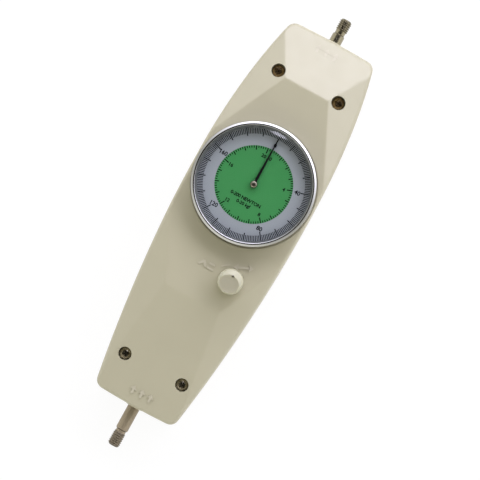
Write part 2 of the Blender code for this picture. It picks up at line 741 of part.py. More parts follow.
def make_cover_screws(bronze):
    """The four cross-recess screws that join the covers."""
    for number, (x, y) in enumerate(cover_screw_places(), 1):
        seat = front_height(x, y) - WELL_DEPTH + FIT
        crown = seat + COVER_HEAD_HEIGHT
        profile = [
            (0, ROD_Z - COVER_SCREW_REACH),
            (COVER_SCREW_RADIUS, ROD_Z - COVER_SCREW_REACH),
            (COVER_SCREW_RADIUS, seat),
            (COVER_HEAD_RADIUS, seat),
            (COVER_HEAD_RADIUS, seat + COVER_HEAD_HEIGHT / 2),
            (COVER_HEAD_RADIUS * math.cos(math.pi / 6), crown - COVER_HEAD_HEIGHT / 8),
            (COVER_HEAD_RADIUS / 2, crown),
            (0, crown),
        ]
        shape = bmesh.new()
        turn(shape, profile, SMALL_SEGMENTS, "Z", (x, y))
        screw = piece(f"cover_screw_{number}", shape, bronze, (x, y, seat))
        cross = bmesh.new()
        long, wide = CROSS_LENGTH / 2, CROSS_WIDTH / 2
        plus = [(long, wide), (wide, wide), (wide, long), (-wide, long), (-wide, wide), (-long, wide)]
        plus += [(-px, -py) for px, py in plus]
        angle = math.radians(30 * number)
        turned = Matrix.Rotation(angle, 2)
        outline = [tuple(turned @ Vector(spot) + Vector((x, y))) for spot in plus]
        prism(cross, outline, crown - CROSS_DEPTH, crown + OVERRUN)
        combine(screw, cross, "DIFFERENCE", f"cross_tool_{number}")


def thread_rings(start, way, length):
    """Heights and phases of a thread's rings, a quarter pitch apart."""
    count = round(4 * length / THREAD_PITCH)
    return [start + way * length * i / count for i in range(count + 1)]


def threaded_rod(name, inner, tip, thread, metal):
    """One end of the measuring rod: spigot, plain shank, relief neck and M6 thread along Y."""
    way = 1 if tip > inner else -1
    root = THREAD_CREST_RADIUS - THREAD_DEPTH
    thread_end = tip - way * TIP_CHAMFER
    thread_start = thread_end - way * thread
    neck_start = thread_start - way * NECK_LENGTH
    shape = bmesh.new()
    plain = [
        (SPIGOT_RADIUS, inner - way * SPIGOT_LENGTH),
        (SPIGOT_RADIUS, inner),
        (ROD_RADIUS, inner),
        (ROD_RADIUS, neck_start - way * SHOULDER_CHAMFER),
        (ROD_RADIUS - SHOULDER_CHAMFER, neck_start),
        (NECK_RADIUS, neck_start),
        (NECK_RADIUS, thread_start - way * THREAD_PITCH / 4),
    ]
    segments = SMALL_SEGMENTS
    step = 2 * math.pi / segments
    rings = []

    def add_ring(height, radii):
        ring = []
        for spoke, radius in enumerate(radii):
            angle = spoke * step
            spot = (radius * math.cos(angle), height, ROD_Z + radius * math.sin(angle))
            ring.append(shape.verts.new(spot))
        rings.append(ring)

    for radius, height in plain:
        add_ring(height, [radius] * segments)
    heights = thread_rings(thread_start, way, thread)
    for number, height in enumerate(heights):
        ramp = min(1.0, number / 4, (len(heights) - 1 - number) / 2)
        radii = []
        for spoke in range(segments):
            phase = (height / THREAD_PITCH - spoke / segments) % 1.0
            ridge = 1 - abs(2 * phase - 1)
            radii.append(root + THREAD_DEPTH * ridge * ramp)
        add_ring(height, radii)
    add_ring(tip, [root - TIP_CHAMFER * math.tan(math.pi / 6)] * segments)
    for low, high in zip(rings, rings[1:]):
        for spoke in range(segments):
            after = (spoke + 1) % segments
            shape.faces.new((low[spoke], low[after], high[after], high[spoke]))
    shape.faces.new(rings[0])
    shape.faces.new(rings[-1])
    return piece(name, shape, metal, (0, 0, ROD_Z))


def make_rod(steel, dark_steel):
    """The measuring rod: both ends, the slide bar that joins them, and the spring collar."""
    threaded_rod("pull_rod", BAR_PULL_Y + GAP, PULL_TIP_Y, PULL_THREAD, steel)
    threaded_rod("push_rod", BAR_PUSH_Y - GAP, PUSH_TIP_Y, PUSH_THREAD, steel)

    shape = bmesh.new()
    low = (-BAR_HALF_WIDTH, BAR_PUSH_Y, ROD_Z - BAR_HALF_HEIGHT)
    high = (BAR_HALF_WIDTH, BAR_PULL_Y, BAR_TOP_Z)
    bar = piece("slide_bar", block(shape, low, high), dark_steel, (0, 0, ROD_Z))
    holes = bmesh.new()
    depth = SPIGOT_LENGTH + FIT
    radius = SPIGOT_RADIUS + FIT
    drum(holes, radius, BAR_PUSH_Y - OVERRUN, BAR_PUSH_Y + depth, SMALL_SEGMENTS, "Y", (0, ROD_Z))
    drum(holes, radius, BAR_PULL_Y - depth, BAR_PULL_Y + OVERRUN, SMALL_SEGMENTS, "Y", (0, ROD_Z))
    for place in rack_screw_places():
        bottom = BAR_TOP_Z - TINY_SCREW_LENGTH
        drum(holes, TINY_SCREW_RADIUS + FIT, bottom, BAR_TOP_Z + OVERRUN, TINY_SEGMENTS, "Z", place)
    combine(bar, holes, "DIFFERENCE", "bar_holes_tool")

    collar = bmesh.new()
    inner = ROD_RADIUS + FIT
    end = COLLAR_RING_Y + COLLAR_RING_THICKNESS
    profile = ring_profile(inner, COLLAR_RING_RADIUS, COLLAR_RING_Y, end)
    turn(collar, profile, ROUND_SEGMENTS, "Y", (0, ROD_Z), True)
    piece("spring_collar", collar, dark_steel, (0, 0, ROD_Z))


def rack_teeth_places():
    """Heights of the rack's tooth gaps, counted from the one that the pinion sits in at rest."""
    reach = RACK_END_MARGIN
    below = math.ceil((TRAVEL + reach) / TOOTH_PITCH)
    above = math.ceil(reach / TOOTH_PITCH)
    return [WHEEL_Y + k * TOOTH_PITCH for k in range(-below, above + 1)]


def rack_screw_places():
    """Places of the two screws that hold the rack on the slide bar."""
    gaps = rack_teeth_places()
    x = RACK_PITCH_X + RACK_DEPTH - TINY_HEAD_RADIUS - FIT - RACK_LAND
    return [(x, gaps[1]), (x, gaps[-2])]


def make_rack(steel):
    """The rack on the slide bar, with its teeth to the left, and its screws."""
    tip = RACK_PITCH_X - GEAR_MODULE * ADDENDUM_SHARE
    root = RACK_PITCH_X + GEAR_MODULE * DEDENDUM_SHARE
    back = RACK_PITCH_X + RACK_DEPTH
    half = (TOOTH_PITCH / 2 - TOOTH_THINNING) / 2
    lean = math.tan(PRESSURE_ANGLE)
    tip_half = half - GEAR_MODULE * ADDENDUM_SHARE * lean
    root_half = half + GEAR_MODULE * DEDENDUM_SHARE * lean
    gaps = rack_teeth_places()
    outline = [(back, gaps[0]), (back, gaps[-1]), (root, gaps[-1])]
    for gap in reversed(gaps[1:]):
        middle = gap - TOOTH_PITCH / 2
        outline += [(root, middle + root_half), (tip, middle + tip_half)]
        outline += [(tip, middle - tip_half), (root, middle - root_half)]
    outline.append((root, gaps[0]))
    shape = prism(bmesh.new(), outline, RACK_LOW_Z, RACK_LOW_Z + RACK_THICKNESS)
    rack = piece("rack", shape, steel, (0, 0, ROD_Z))
    holes = bmesh.new()
    sunk = RACK_LOW_Z + RACK_THICKNESS - TINY_HEAD_HEIGHT - FIT
    for place in rack_screw_places():
        shank, head = TINY_SCREW_RADIUS + FIT, TINY_HEAD_RADIUS + FIT
        top = sunk + RACK_THICKNESS
        profile = [(0, RACK_LOW_Z - OVERRUN), (shank, RACK_LOW_Z - OVERRUN), (shank, sunk)]
        turn(holes, profile + [(head, sunk), (head, top), (0, top)], TINY_SEGMENTS, "Z", place)
    combine(rack, holes, "DIFFERENCE", "rack_holes_tool")
    length = sunk + FIT - (BAR_TOP_Z - TINY_SCREW_LENGTH) - FIT
    for number, place in enumerate(rack_screw_places(), 1):
        small_screw(f"rack_screw_{number}", place, sunk + FIT, steel, 1, True, length, (0, 0, ROD_Z))


def gear_outline(teeth, centre, phase):
    """Involute gear outline with a tooth centred on the phase angle."""
    pitch_radius = GEAR_MODULE * teeth / 2
    base = pitch_radius * math.cos(PRESSURE_ANGLE)
    tip = pitch_radius + GEAR_MODULE * ADDENDUM_SHARE
    root = pitch_radius - GEAR_MODULE * DEDENDUM_SHARE
    half = (TOOTH_PITCH / 2 - TOOTH_THINNING) / (2 * pitch_radius)
    involute = math.tan(PRESSURE_ANGLE) - PRESSURE_ANGLE
    low = max(base, root)
    flank = []
    for i in range(FLANK_STEPS + 1):
        radius = low + (tip - low) * i / FLANK_STEPS
        roll = math.acos(min(1.0, base / radius))
        flank.append((radius, half + involute - (math.tan(roll) - roll)))
    if root < base:
        flank.insert(0, (root, flank[0][1]))
    points = []
    for tooth in range(teeth):
        middle = phase + 2 * math.pi * tooth / teeth
        for radius, angle in flank:
            points.append((radius, middle - angle))
        for radius, angle in reversed(flank):
            points.append((radius, middle + angle))
    return [(centre[0] + r * math.cos(a), centre[1] + r * math.sin(a)) for r, a in points]


def bored_gear(name, teeth, centre, phase, low, thickness, bore, material):
    """A spur gear with a bore for its arbor."""
    shape = prism(bmesh.new(), gear_outline(teeth, centre, phase), low, low + thickness)
    gear = piece(name, shape, material, (*centre, low))
    hole = drum(bmesh.new(), bore, low - OVERRUN, low + thickness + OVERRUN, TINY_SEGMENTS, "Z", centre)
    combine(gear, hole, "DIFFERENCE", f"{name}_bore_tool")
    return gear


def make_gears(brass, steel):
    """The rack pinion and wheel on one arbor, and the pinion on the pointer's arbor."""
    wheel_centre = (WHEEL_X, WHEEL_Y)
    dial_centre = (0, DIAL_Y)
    toward = math.atan2(DIAL_Y - WHEEL_Y, -WHEEL_X)
    facing = toward + math.pi + math.pi / CENTRE_PINION_TEETH
    bore = ARBOR_RADIUS + FIT
    low, thickness = RACK_LOW_Z, RACK_THICKNESS
    bored_gear("rack_pinion", RACK_PINION_TEETH, wheel_centre, 0.0, low, thickness, bore, steel)
    low, thickness = WHEEL_LOW_Z, WHEEL_THICKNESS
    bored_gear("gear_wheel", WHEEL_TEETH, wheel_centre, toward, low, thickness, bore, brass)
    low, thickness = CENTRE_PINION_LOW_Z, CENTRE_PINION_THICKNESS
    teeth = CENTRE_PINION_TEETH
    bored_gear("centre_pinion", teeth, dial_centre, facing, low, thickness, bore, steel)

    arbor = bmesh.new()
    pivot = ARBOR_RADIUS - ARBOR_SHOULDER / 2
    low_shoulder = CHASSIS_TOP_Z + GAP
    high_shoulder = UPPER_PLATE_Z - GAP
    profile = [
        (0, CHASSIS_LOW_Z),
        (pivot, CHASSIS_LOW_Z),
        (pivot, low_shoulder),
        (ARBOR_RADIUS, low_shoulder),
        (ARBOR_RADIUS, high_shoulder),
        (pivot, high_shoulder),
        (pivot, UPPER_PLATE_Z + PLATE_THICKNESS),
        (0, UPPER_PLATE_Z + PLATE_THICKNESS),
    ]
    turn(arbor, profile, TINY_SEGMENTS, "Z", wheel_centre)
    piece("wheel_arbor", arbor, steel, (*wheel_centre, CHASSIS_LOW_Z))

    arbor = bmesh.new()
    low_shoulder = LOWER_PLATE_Z + PLATE_THICKNESS + GAP
    profile = [
        (0, LOWER_PLATE_Z),
        (pivot, LOWER_PLATE_Z),
        (pivot, low_shoulder),
        (ARBOR_RADIUS, low_shoulder),
        (ARBOR_RADIUS, high_shoulder),
        (pivot, high_shoulder),
        (pivot, POINTER_TOP_Z),
        (0, POINTER_TOP_Z),
    ]
    turn(arbor, profile, TINY_SEGMENTS, "Z", dial_centre)
    piece("pointer_arbor", arbor, steel, (*dial_centre, LOWER_PLATE_Z))


def plate_outline():
    """Three-cornered plate outline round the pillars."""
    corners = PILLAR_PLACES
    middle = [sum(c[k] for c in corners) / len(corners) for k in (0, 1)]
    ordered = sorted(corners, key=lambda c: math.atan2(c[1] - middle[1], c[0] - middle[0]))
    return grown(ordered, PLATE_MARGIN)


def movement_plate(name, low, metal):
    """One of the two plates that carry the gear train."""
    shape = prism(bmesh.new(), plate_outline(), low, low + PLATE_THICKNESS)
    plate = piece(name, shape, metal)
    if name == "movement_upper_plate":
        stud = bmesh.new()
        place = hairspring_stud_place()
        foot, head = low + PLATE_THICKNESS / 2, HAIRSPRING_Z + STUD_RADIUS
        drum(stud, STUD_RADIUS, foot, head, TINY_SEGMENTS, "Z", place)
        combine(plate, stud, "UNION", "stud_tool")
    holes = bmesh.new()
    bottom, top = low - OVERRUN / 2, low + PLATE_THICKNESS + OVERRUN / 2
    pivot = ARBOR_RADIUS - ARBOR_SHOULDER / 2 + RUNNING
    through = ARBOR_RADIUS + FIT
    wheel_hole = through if low == LOWER_PLATE_Z else pivot
    drum(holes, wheel_hole, bottom, top, TINY_SEGMENTS, "Z", (WHEEL_X, WHEEL_Y))
    drum(holes, pivot, bottom, top, TINY_SEGMENTS, "Z", (0, DIAL_Y))
    for place in PILLAR_PLACES:
        drum(holes, SMALL_SCREW_RADIUS + FIT, bottom, top, TINY_SEGMENTS, "Z", place)
    combine(plate, holes, "DIFFERENCE", f"{name}_holes_tool")
    return plate


def make_movement_frame(brass, steel):
    """Pillars, plates, spacers and the screws that clamp them."""
    movement_plate("movement_lower_plate", LOWER_PLATE_Z, brass)
    movement_plate("movement_upper_plate", UPPER_PLATE_Z, brass)
    spacer_low = LOWER_PLATE_Z + PLATE_THICKNESS + FIT
    seat = UPPER_PLATE_Z + PLATE_THICKNESS + FIT
    pillar_top = LOWER_PLATE_Z - FIT
    reach = seat - pillar_top + PLATE_SCREW_GRIP
    hole = SMALL_SCREW_RADIUS + FIT
    bottom = pillar_top - PLATE_SCREW_GRIP - FIT
    for number, place in enumerate(PILLAR_PLACES, 1):
        shape = bmesh.new()
        profile = [
            (0, ON_CHASSIS_Z),
            (PILLAR_RADIUS, ON_CHASSIS_Z),
            (PILLAR_RADIUS, pillar_top),
            (hole, pillar_top),
            (hole, bottom),
            (0, bottom),
        ]
        turn(shape, profile, TINY_SEGMENTS, "Z", place)
        piece(f"movement_pillar_{number}", shape, brass)
        shape = bmesh.new()
        profile = ring_profile(hole, SPACER_RADIUS, spacer_low, UPPER_PLATE_Z - FIT)
        turn(shape, profile, TINY_SEGMENTS, "Z", place, True)
        piece(f"plate_spacer_{number}", shape, brass)
        small_screw(f"plate_screw_{number}", place, seat, steel, 1, False, reach)


def spiral(turns, per_turn, inner, outer, z, centre):
    """Points of a flat spiral."""
    points = []
    count = turns * per_turn
    for i in range(count + 1):
        share = i / count
        angle = 2 * math.pi * turns * share
        radius = inner + (outer - inner) * share
        points.append((centre[0] + radius * math.cos(angle), centre[1] + radius * math.sin(angle), z))
    return points


def hairspring_stud_place():
    """Where the hairspring's outer end is held."""
    return (HAIRSPRING_OUTER + HAIRSPRING_WIRE + FIT + STUD_RADIUS, DIAL_Y)


def wire(name, points, radius, material, resolution=1):
    """An unbroken round wire through the points, with closed ends."""
    curve = bpy.data.curves.new(name, "CURVE")
    curve.dimensions = "3D"
    curve.bevel_depth = radius
    curve.bevel_resolution = resolution
    curve.use_fill_caps = True
    line = curve.splines.new("POLY")
    line.points.add(len(points) - 1)
    for spot, point in zip(line.points, points):
        spot.co = (*point, 1.0)
    curve.materials.append(material)
    thing = bpy.data.objects.new(name, curve)
    bpy.context.collection.objects.link(thing)
    return thing


def make_springs(spring_steel):
    """The main helical spring round the push rod and the flat hairspring."""
    start = COLLAR_RING_Y + COLLAR_RING_THICKNESS + GAP + SPRING_WIRE_RADIUS
    end = BRACKET_Y - GAP - SPRING_WIRE_RADIUS
    closed_turn_share = 1.0
    closed = 2 * SPRING_WIRE_RADIUS + SPRING_END_GAP
    open_turns = SPRING_TURNS - 2 * closed_turn_share
    points = []
    count = SPRING_TURNS * SPRING_POINTS_PER_TURN
    for i in range(count + 1):
        turned = i / SPRING_POINTS_PER_TURN
        if turned < closed_turn_share:
            y = start + closed * turned
        elif turned > SPRING_TURNS - closed_turn_share:
            y = end - closed * (SPRING_TURNS - turned)
        else:
            rise = (end - start - 2 * closed * closed_turn_share) / open_turns
            y = start + closed * closed_turn_share + rise * (turned - closed_turn_share)
        angle = 2 * math.pi * turned
        x = SPRING_RADIUS * math.cos(angle)
        points.append((x, y, ROD_Z + SPRING_RADIUS * math.sin(angle)))
    wire("main_spring", points, SPRING_WIRE_RADIUS, spring_steel)
    least = min(
        (Vector(points[i]) - Vector(points[i + SPRING_POINTS_PER_TURN])).length
        for i in range(count + 1 - SPRING_POINTS_PER_TURN)
    )
    print(f"main spring: least gap between turns {1000 * (least - 2 * SPRING_WIRE_RADIUS):.2f} mm")

    flat = spiral(
        HAIRSPRING_TURNS,
        HAIRSPRING_POINTS_PER_TURN,
        HAIRSPRING_INNER,
        HAIRSPRING_OUTER,
        HAIRSPRING_Z,
        (0, DIAL_Y),
    )
    wire("hairspring", flat, HAIRSPRING_WIRE, spring_steel, 0)
    between = (HAIRSPRING_OUTER - HAIRSPRING_INNER) / HAIRSPRING_TURNS - 2 * HAIRSPRING_WIRE
    print(f"hairspring: gap between turns {1000 * between:.2f} mm")

    collet = bmesh.new()
    low = HAIRSPRING_Z - COLLET_THICKNESS / 2
    inner = ARBOR_RADIUS - ARBOR_SHOULDER / 2 + FIT
    profile = ring_profile(inner, COLLET_RADIUS, low, low + COLLET_THICKNESS)
    turn(collet, profile, TINY_SEGMENTS, "Z", (0, DIAL_Y), True)
    piece("hairspring_collet", collet, spring_steel, (0, DIAL_Y, low))


def make_chassis(zinc, steel):
    """The pressed chassis with its two ears, screwed to posts in the rear cover."""
    narrow, wide = EAR_HALF_WIDTH, chassis_half_width()
    pull, push = PULL_EAR_Y, PUSH_EAR_Y
    outline = [
        (narrow, push),
        (narrow, CHASSIS_WIDE_PUSH_Y),
        (wide, CHASSIS_WIDE_PUSH_Y),
        (wide, CHASSIS_WIDE_PULL_Y),
        (narrow, CHASSIS_WIDE_PULL_Y),
        (narrow, pull),
    ]
    outline += [(-x, y) for x, y in reversed(outline)]
    chassis = piece("chassis", prism(bmesh.new(), outline, CHASSIS_LOW_Z, CHASSIS_TOP_Z), zinc)
    ears = bmesh.new()
    sunk = CHASSIS_LOW_Z
    high = front_height(narrow, push) - WALL - EAR_HEADROOM
    block(ears, (-narrow, pull - EAR_THICKNESS, sunk), (narrow, pull, high))
    block(ears, (-narrow, push, sunk), (narrow, push + EAR_THICKNESS, high))
    combine(chassis, ears, "UNION", "ears_tool")
    holes = bmesh.new()
    for y in (pull, push):
        near, far = y - 2 * OVERRUN, y + 2 * OVERRUN
        drum(holes, BUSH_OUTER_RADIUS + FIT, near, far, SMALL_SEGMENTS, "Y", (0, ROD_Z))
    bottom, top = CHASSIS_LOW_Z - OVERRUN, CHASSIS_TOP_Z + OVERRUN
    for place in chassis_screw_places():
        drum(holes, SMALL_SCREW_RADIUS + FIT, bottom, top, TINY_SEGMENTS, "Z", place)
    for place in bracket_screw_places():
        drum(holes, SMALL_SCREW_RADIUS + FIT, bottom, top, TINY_SEGMENTS, "Z", place)
    drum(holes, SPINDLE_RADIUS + RUNNING, bottom, top, SMALL_SEGMENTS, "Z", (SELECTOR_X, SELECTOR_Y))
    drum(holes, PAWL_PIN_RADIUS + FIT, bottom, top, TINY_SEGMENTS, "Z", (PAWL_X, PAWL_Y))
    pivot = ARBOR_RADIUS - ARBOR_SHOULDER / 2 + RUNNING
    drum(holes, pivot, bottom, top, TINY_SEGMENTS, "Z", (WHEEL_X, WHEEL_Y))
    combine(chassis, holes, "DIFFERENCE", "chassis_holes_tool")
    for number, place in enumerate(chassis_screw_places(), 1):
        small_screw(f"chassis_screw_{number}", place, CHASSIS_TOP_Z + FIT, steel)


def make_bushes(bronze):
    """Flanged bushes that carry the rod in the chassis ears."""
    inner = ROD_RADIUS + RUNNING
    ears = (
        ("pull_bush", PULL_EAR_Y, PULL_EAR_Y - EAR_THICKNESS, 1),
        ("push_bush", PUSH_EAR_Y, PUSH_EAR_Y + EAR_THICKNESS, -1),
    )
    for name, outside, inside, way in ears:
        face = inside - way * GAP
        profile = [
            (inner, face - way * BUSH_FLANGE_THICKNESS),
            (BUSH_FLANGE_RADIUS, face - way * BUSH_FLANGE_THICKNESS),
            (BUSH_FLANGE_RADIUS, face),
            (BUSH_OUTER_RADIUS, face),
            (BUSH_OUTER_RADIUS, outside + way * BUSH_NOSE),
            (inner, outside + way * BUSH_NOSE),
        ]
        shape = bmesh.new()
        turn(shape, profile, ROUND_SEGMENTS, "Y", (0, ROD_Z), True)
        piece(name, shape, bronze)


def bracket_screw_places():
    """Places of the spring bracket's two screws."""
    y = BRACKET_Y + BRACKET_THICKNESS + (BRACKET_FOOT - BRACKET_THICKNESS) / 2
    return [(side * BRACKET_SCREW_X, y) for side in (-1, 1)]


def make_spring_bracket(zinc, steel):
    """The angle bracket that the main spring pushes against."""
    shape = bmesh.new()
    low = (-BRACKET_HALF_WIDTH, BRACKET_Y, ON_CHASSIS_Z)
    high = (BRACKET_HALF_WIDTH, BRACKET_Y + BRACKET_THICKNESS, ON_CHASSIS_Z + BRACKET_HEIGHT)
    bracket = piece("spring_bracket", block(shape, low, high), zinc)
    foot = bmesh.new()
    foot_top = ON_CHASSIS_Z + BRACKET_FOOT_THICKNESS
    below = ON_CHASSIS_Z - OVERRUN
    block(foot, low, (BRACKET_HALF_WIDTH, BRACKET_Y + BRACKET_FOOT, foot_top))
    combine(bracket, foot, "UNION", "foot_tool")
    holes = bmesh.new()
    far = BRACKET_Y + BRACKET_THICKNESS + OVERRUN
    radius = ROD_RADIUS + ROD_HOLE_CLEARANCE
    drum(holes, radius, BRACKET_Y - OVERRUN, far, SMALL_SEGMENTS, "Y", (0, ROD_Z))
    for place in bracket_screw_places():
        drum(holes, SMALL_SCREW_RADIUS + FIT, below, foot_top + FIT, TINY_SEGMENTS, "Z", place)
    combine(bracket, holes, "DIFFERENCE", "bracket_holes_tool")
    for number, place in enumerate(bracket_screw_places(), 1):
        small_screw(f"bracket_screw_{number}", place, foot_top + FIT, steel)


def make_bar_guide(polymer):
    """The channel that the slide bar runs in, so that it can't turn."""
    inner = BAR_HALF_WIDTH + RUNNING
    outer = inner + GUIDE_WALL
    top = ON_CHASSIS_Z + GUIDE_HEIGHT
    shape = bmesh.new()
    outline = [
        (-outer, ON_CHASSIS_Z),
        (outer, ON_CHASSIS_Z),
        (outer, top),
        (inner, top),
        (inner, ON_CHASSIS_Z + GUIDE_FLOOR),
        (-inner, ON_CHASSIS_Z + GUIDE_FLOOR),
        (-inner, top),
        (-outer, top),
    ]
    near = [shape.verts.new((x, GUIDE_Y, z)) for x, z in outline]
    far = [shape.verts.new((x, GUIDE_Y + GUIDE_LENGTH, z)) for x, z in outline]
    shape.faces.new(near)
    shape.faces.new(far)
    for i in range(len(outline)):
        j = (i + 1) % len(outline)
        shape.faces.new((near[i], near[j], far[j], far[i]))
    piece("bar_guide", shape, polymer)


def make_dial(chrome, black, printed, glass, steel):
    """The dial case on the front cover, and what turns on it with the bezel."""
    origin = (0, DIAL_Y, CASE_LOW_Z)
    centre = (0, DIAL_Y)
    foot_radius = INSIDE_BEZEL_RADIUS - CASE_STEP
    case = bmesh.new()
    profile = [
        (CASE_HOLE_RADIUS, CASE_LOW_Z),
        (foot_radius, CASE_LOW_Z),
        (foot_radius, CASE_FLANGE_Z),
        (INSIDE_BEZEL_RADIUS, CASE_FLANGE_Z),
        (INSIDE_BEZEL_RADIUS, CASE_TOP_Z),
        (CASE_HOLE_RADIUS, CASE_TOP_Z),
    ]
    turn(case, profile, ROUND_SEGMENTS, "Z", centre, True)
    case = piece("dial_case", case, black, origin)
    holes = bmesh.new()
    deep = CASE_TOP_Z - GAP
    for place in case_screw_places():
        drum(holes, TINY_SCREW_RADIUS + FIT, CASE_LOW_Z - OVERRUN, deep, TINY_SEGMENTS, "Z", place)
    combine(case, holes, "DIFFERENCE", "case_holes_tool")
    seat = FRONT_Z - WALL - FIT
    length = deep - GAP - seat
    for number, place in enumerate(case_screw_places(), 1):
        small_screw(f"case_screw_{number}", place, seat, steel, -1, True, length)

    rim = bmesh.new()
    hook = foot_radius + GAP
    low, hook_top = CASE_LOW_Z + FIT, CASE_FLANGE_Z - GAP
    lip = BEZEL_BORE_RADIUS - BEZEL_LIP
    profile = [
        (hook, low),
        (BEZEL_RADIUS, low),
        (BEZEL_RADIUS, BEZEL_TOP_Z - BEZEL_ROUND),
        (BEZEL_RADIUS - BEZEL_ROUND, BEZEL_TOP_Z),
        (lip + BEZEL_ROUND / 2, BEZEL_TOP_Z),
        (lip, BEZEL_TOP_Z - BEZEL_ROUND / 2),
        (lip, LIP_LOW_Z),
        (BEZEL_BORE_RADIUS, LIP_LOW_Z),
        (BEZEL_BORE_RADIUS, hook_top),
        (hook, hook_top),
    ]
    turn(rim, profile, BEZEL_SEGMENTS, "Z", centre, True)
    piece("bezel", rim, chrome, origin)

    plate = bmesh.new()
    profile = ring_profile(DIAL_HOLE_RADIUS, INSIDE_BEZEL_RADIUS, DIAL_LOW_Z, DIAL_TOP_Z)
    turn(plate, profile, ROUND_SEGMENTS, "Z", centre, True)
    piece("dial_plate", plate, printed, origin)

    ring = bmesh.new()
    profile = ring_profile(RING_BORE_RADIUS, INSIDE_BEZEL_RADIUS, RING_LOW_Z, RING_TOP_Z)
    turn(ring, profile, ROUND_SEGMENTS, "Z", centre, True)
    piece("dial_ring", ring, black, origin)

    pane = bmesh.new()
    top = CRYSTAL_LOW_Z + CRYSTAL_THICKNESS
    drum(pane, INSIDE_BEZEL_RADIUS, CRYSTAL_LOW_Z, top, ROUND_SEGMENTS, "Z", centre)
    piece("crystal", pane, glass, origin)


def make_pointer(black, silver):
    """The tapered pointer and its turned hub cap."""
    ring = POINTER_RING_RADIUS
    centre_y = DIAL_Y
    outline = []
    start = math.acos(POINTER_ROOT_HALF / ring)
    steps = TINY_SEGMENTS
    for i in range(steps + 1):
        angle = math.pi - start + (math.pi + 2 * start) * i / steps
        outline.append((ring * math.cos(angle), centre_y + ring * math.sin(angle)))
    outline += [
        (POINTER_TIP_HALF, centre_y + POINTER_LENGTH - POINTER_TIP_HALF),
        (0, centre_y + POINTER_LENGTH),
        (-POINTER_TIP_HALF, centre_y + POINTER_LENGTH - POINTER_TIP_HALF),
    ]
    shape = prism(bmesh.new(), outline, POINTER_LOW_Z, POINTER_TOP_Z)
    hand = piece("pointer", shape, black, (0, DIAL_Y, POINTER_LOW_Z))
    hole = bmesh.new()
    bore = ARBOR_RADIUS - ARBOR_SHOULDER / 2 + FIT
    drum(hole, bore, POINTER_LOW_Z - GAP, POINTER_TOP_Z + GAP, TINY_SEGMENTS, "Z", (0, DIAL_Y))
    combine(hand, hole, "DIFFERENCE", "pointer_hole_tool")
    cap = bmesh.new()
    low = POINTER_TOP_Z + FIT
    profile = [
        (0, low),
        (HUB_RADIUS, low),
        (HUB_RADIUS, low + HUB_HEIGHT * 2 / 3),
        (HUB_RADIUS * 2 / 3, low + HUB_HEIGHT),
        (0, low + HUB_HEIGHT),
    ]
    turn(cap, profile, SMALL_SEGMENTS, "Z", (0, DIAL_Y))
    piece("pointer_hub", cap, silver, (0, DIAL_Y, low))


def make_selector(frosted, steel, brass):
    """The selector knob, its spindle and the cam that lifts the pawl."""
    place = (SELECTOR_X, SELECTOR_Y)
    low = KNOB_LOW_Z
    bore = SPINDLE_RADIUS + FIT
    roof = KNOB_TOP_Z - KNOB_ROOF
    knob = bmesh.new()
    profile = [
        (bore, low),
        (KNOB_RADIUS, low),
        (KNOB_TOP_RADIUS, KNOB_TOP_Z - KNOB_ROUND),
        (KNOB_TOP_RADIUS - KNOB_ROUND / 3, KNOB_TOP_Z - KNOB_ROUND / 3),
        (KNOB_TOP_RADIUS - KNOB_ROUND, KNOB_TOP_Z),
        (KNOB_DISH_RADIUS, KNOB_TOP_Z),
        (KNOB_DISH_RADIUS - KNOB_DISH_DEPTH, KNOB_TOP_Z - KNOB_DISH_DEPTH),
        (0, KNOB_TOP_Z - KNOB_DISH_DEPTH),
    ]
    turn(knob, [(0, roof), (bore, roof)] + profile, ROUND_SEGMENTS, "Z", place)
    knob = piece("selector_knob", knob, frosted, (*place, low))
    dot = bmesh.new()
    bottom = KNOB_TOP_Z - KNOB_DISH_DEPTH - KNOB_DOT_DEPTH
    spot = (place[0], place[1] + KNOB_DOT_OFFSET)
    drum(dot, KNOB_DOT_RADIUS, bottom, KNOB_TOP_Z + OVERRUN, TINY_SEGMENTS, "Z", spot)
    combine(knob, dot, "DIFFERENCE", "knob_dot_tool")

    spindle = drum(bmesh.new(), SPINDLE_RADIUS, CHASSIS_LOW_Z, roof - GAP, SMALL_SEGMENTS, "Z", place)
    piece("selector_spindle", spindle, steel, (*place, CHASSIS_LOW_Z))

    high = CAM_LOW_Z + CAM_THICKNESS
    thrown = (SELECTOR_X - CAM_THROW, SELECTOR_Y)
    cam = drum(bmesh.new(), CAM_RADIUS, CAM_LOW_Z, high, SMALL_SEGMENTS, "Z", thrown)
    cam = piece("selector_cam", cam, brass, (*place, CAM_LOW_Z))
    hole = drum(bmesh.new(), bore, CAM_LOW_Z - GAP, high + GAP, SMALL_SEGMENTS, "Z", place)
    combine(cam, hole, "DIFFERENCE", "cam_bore_tool")


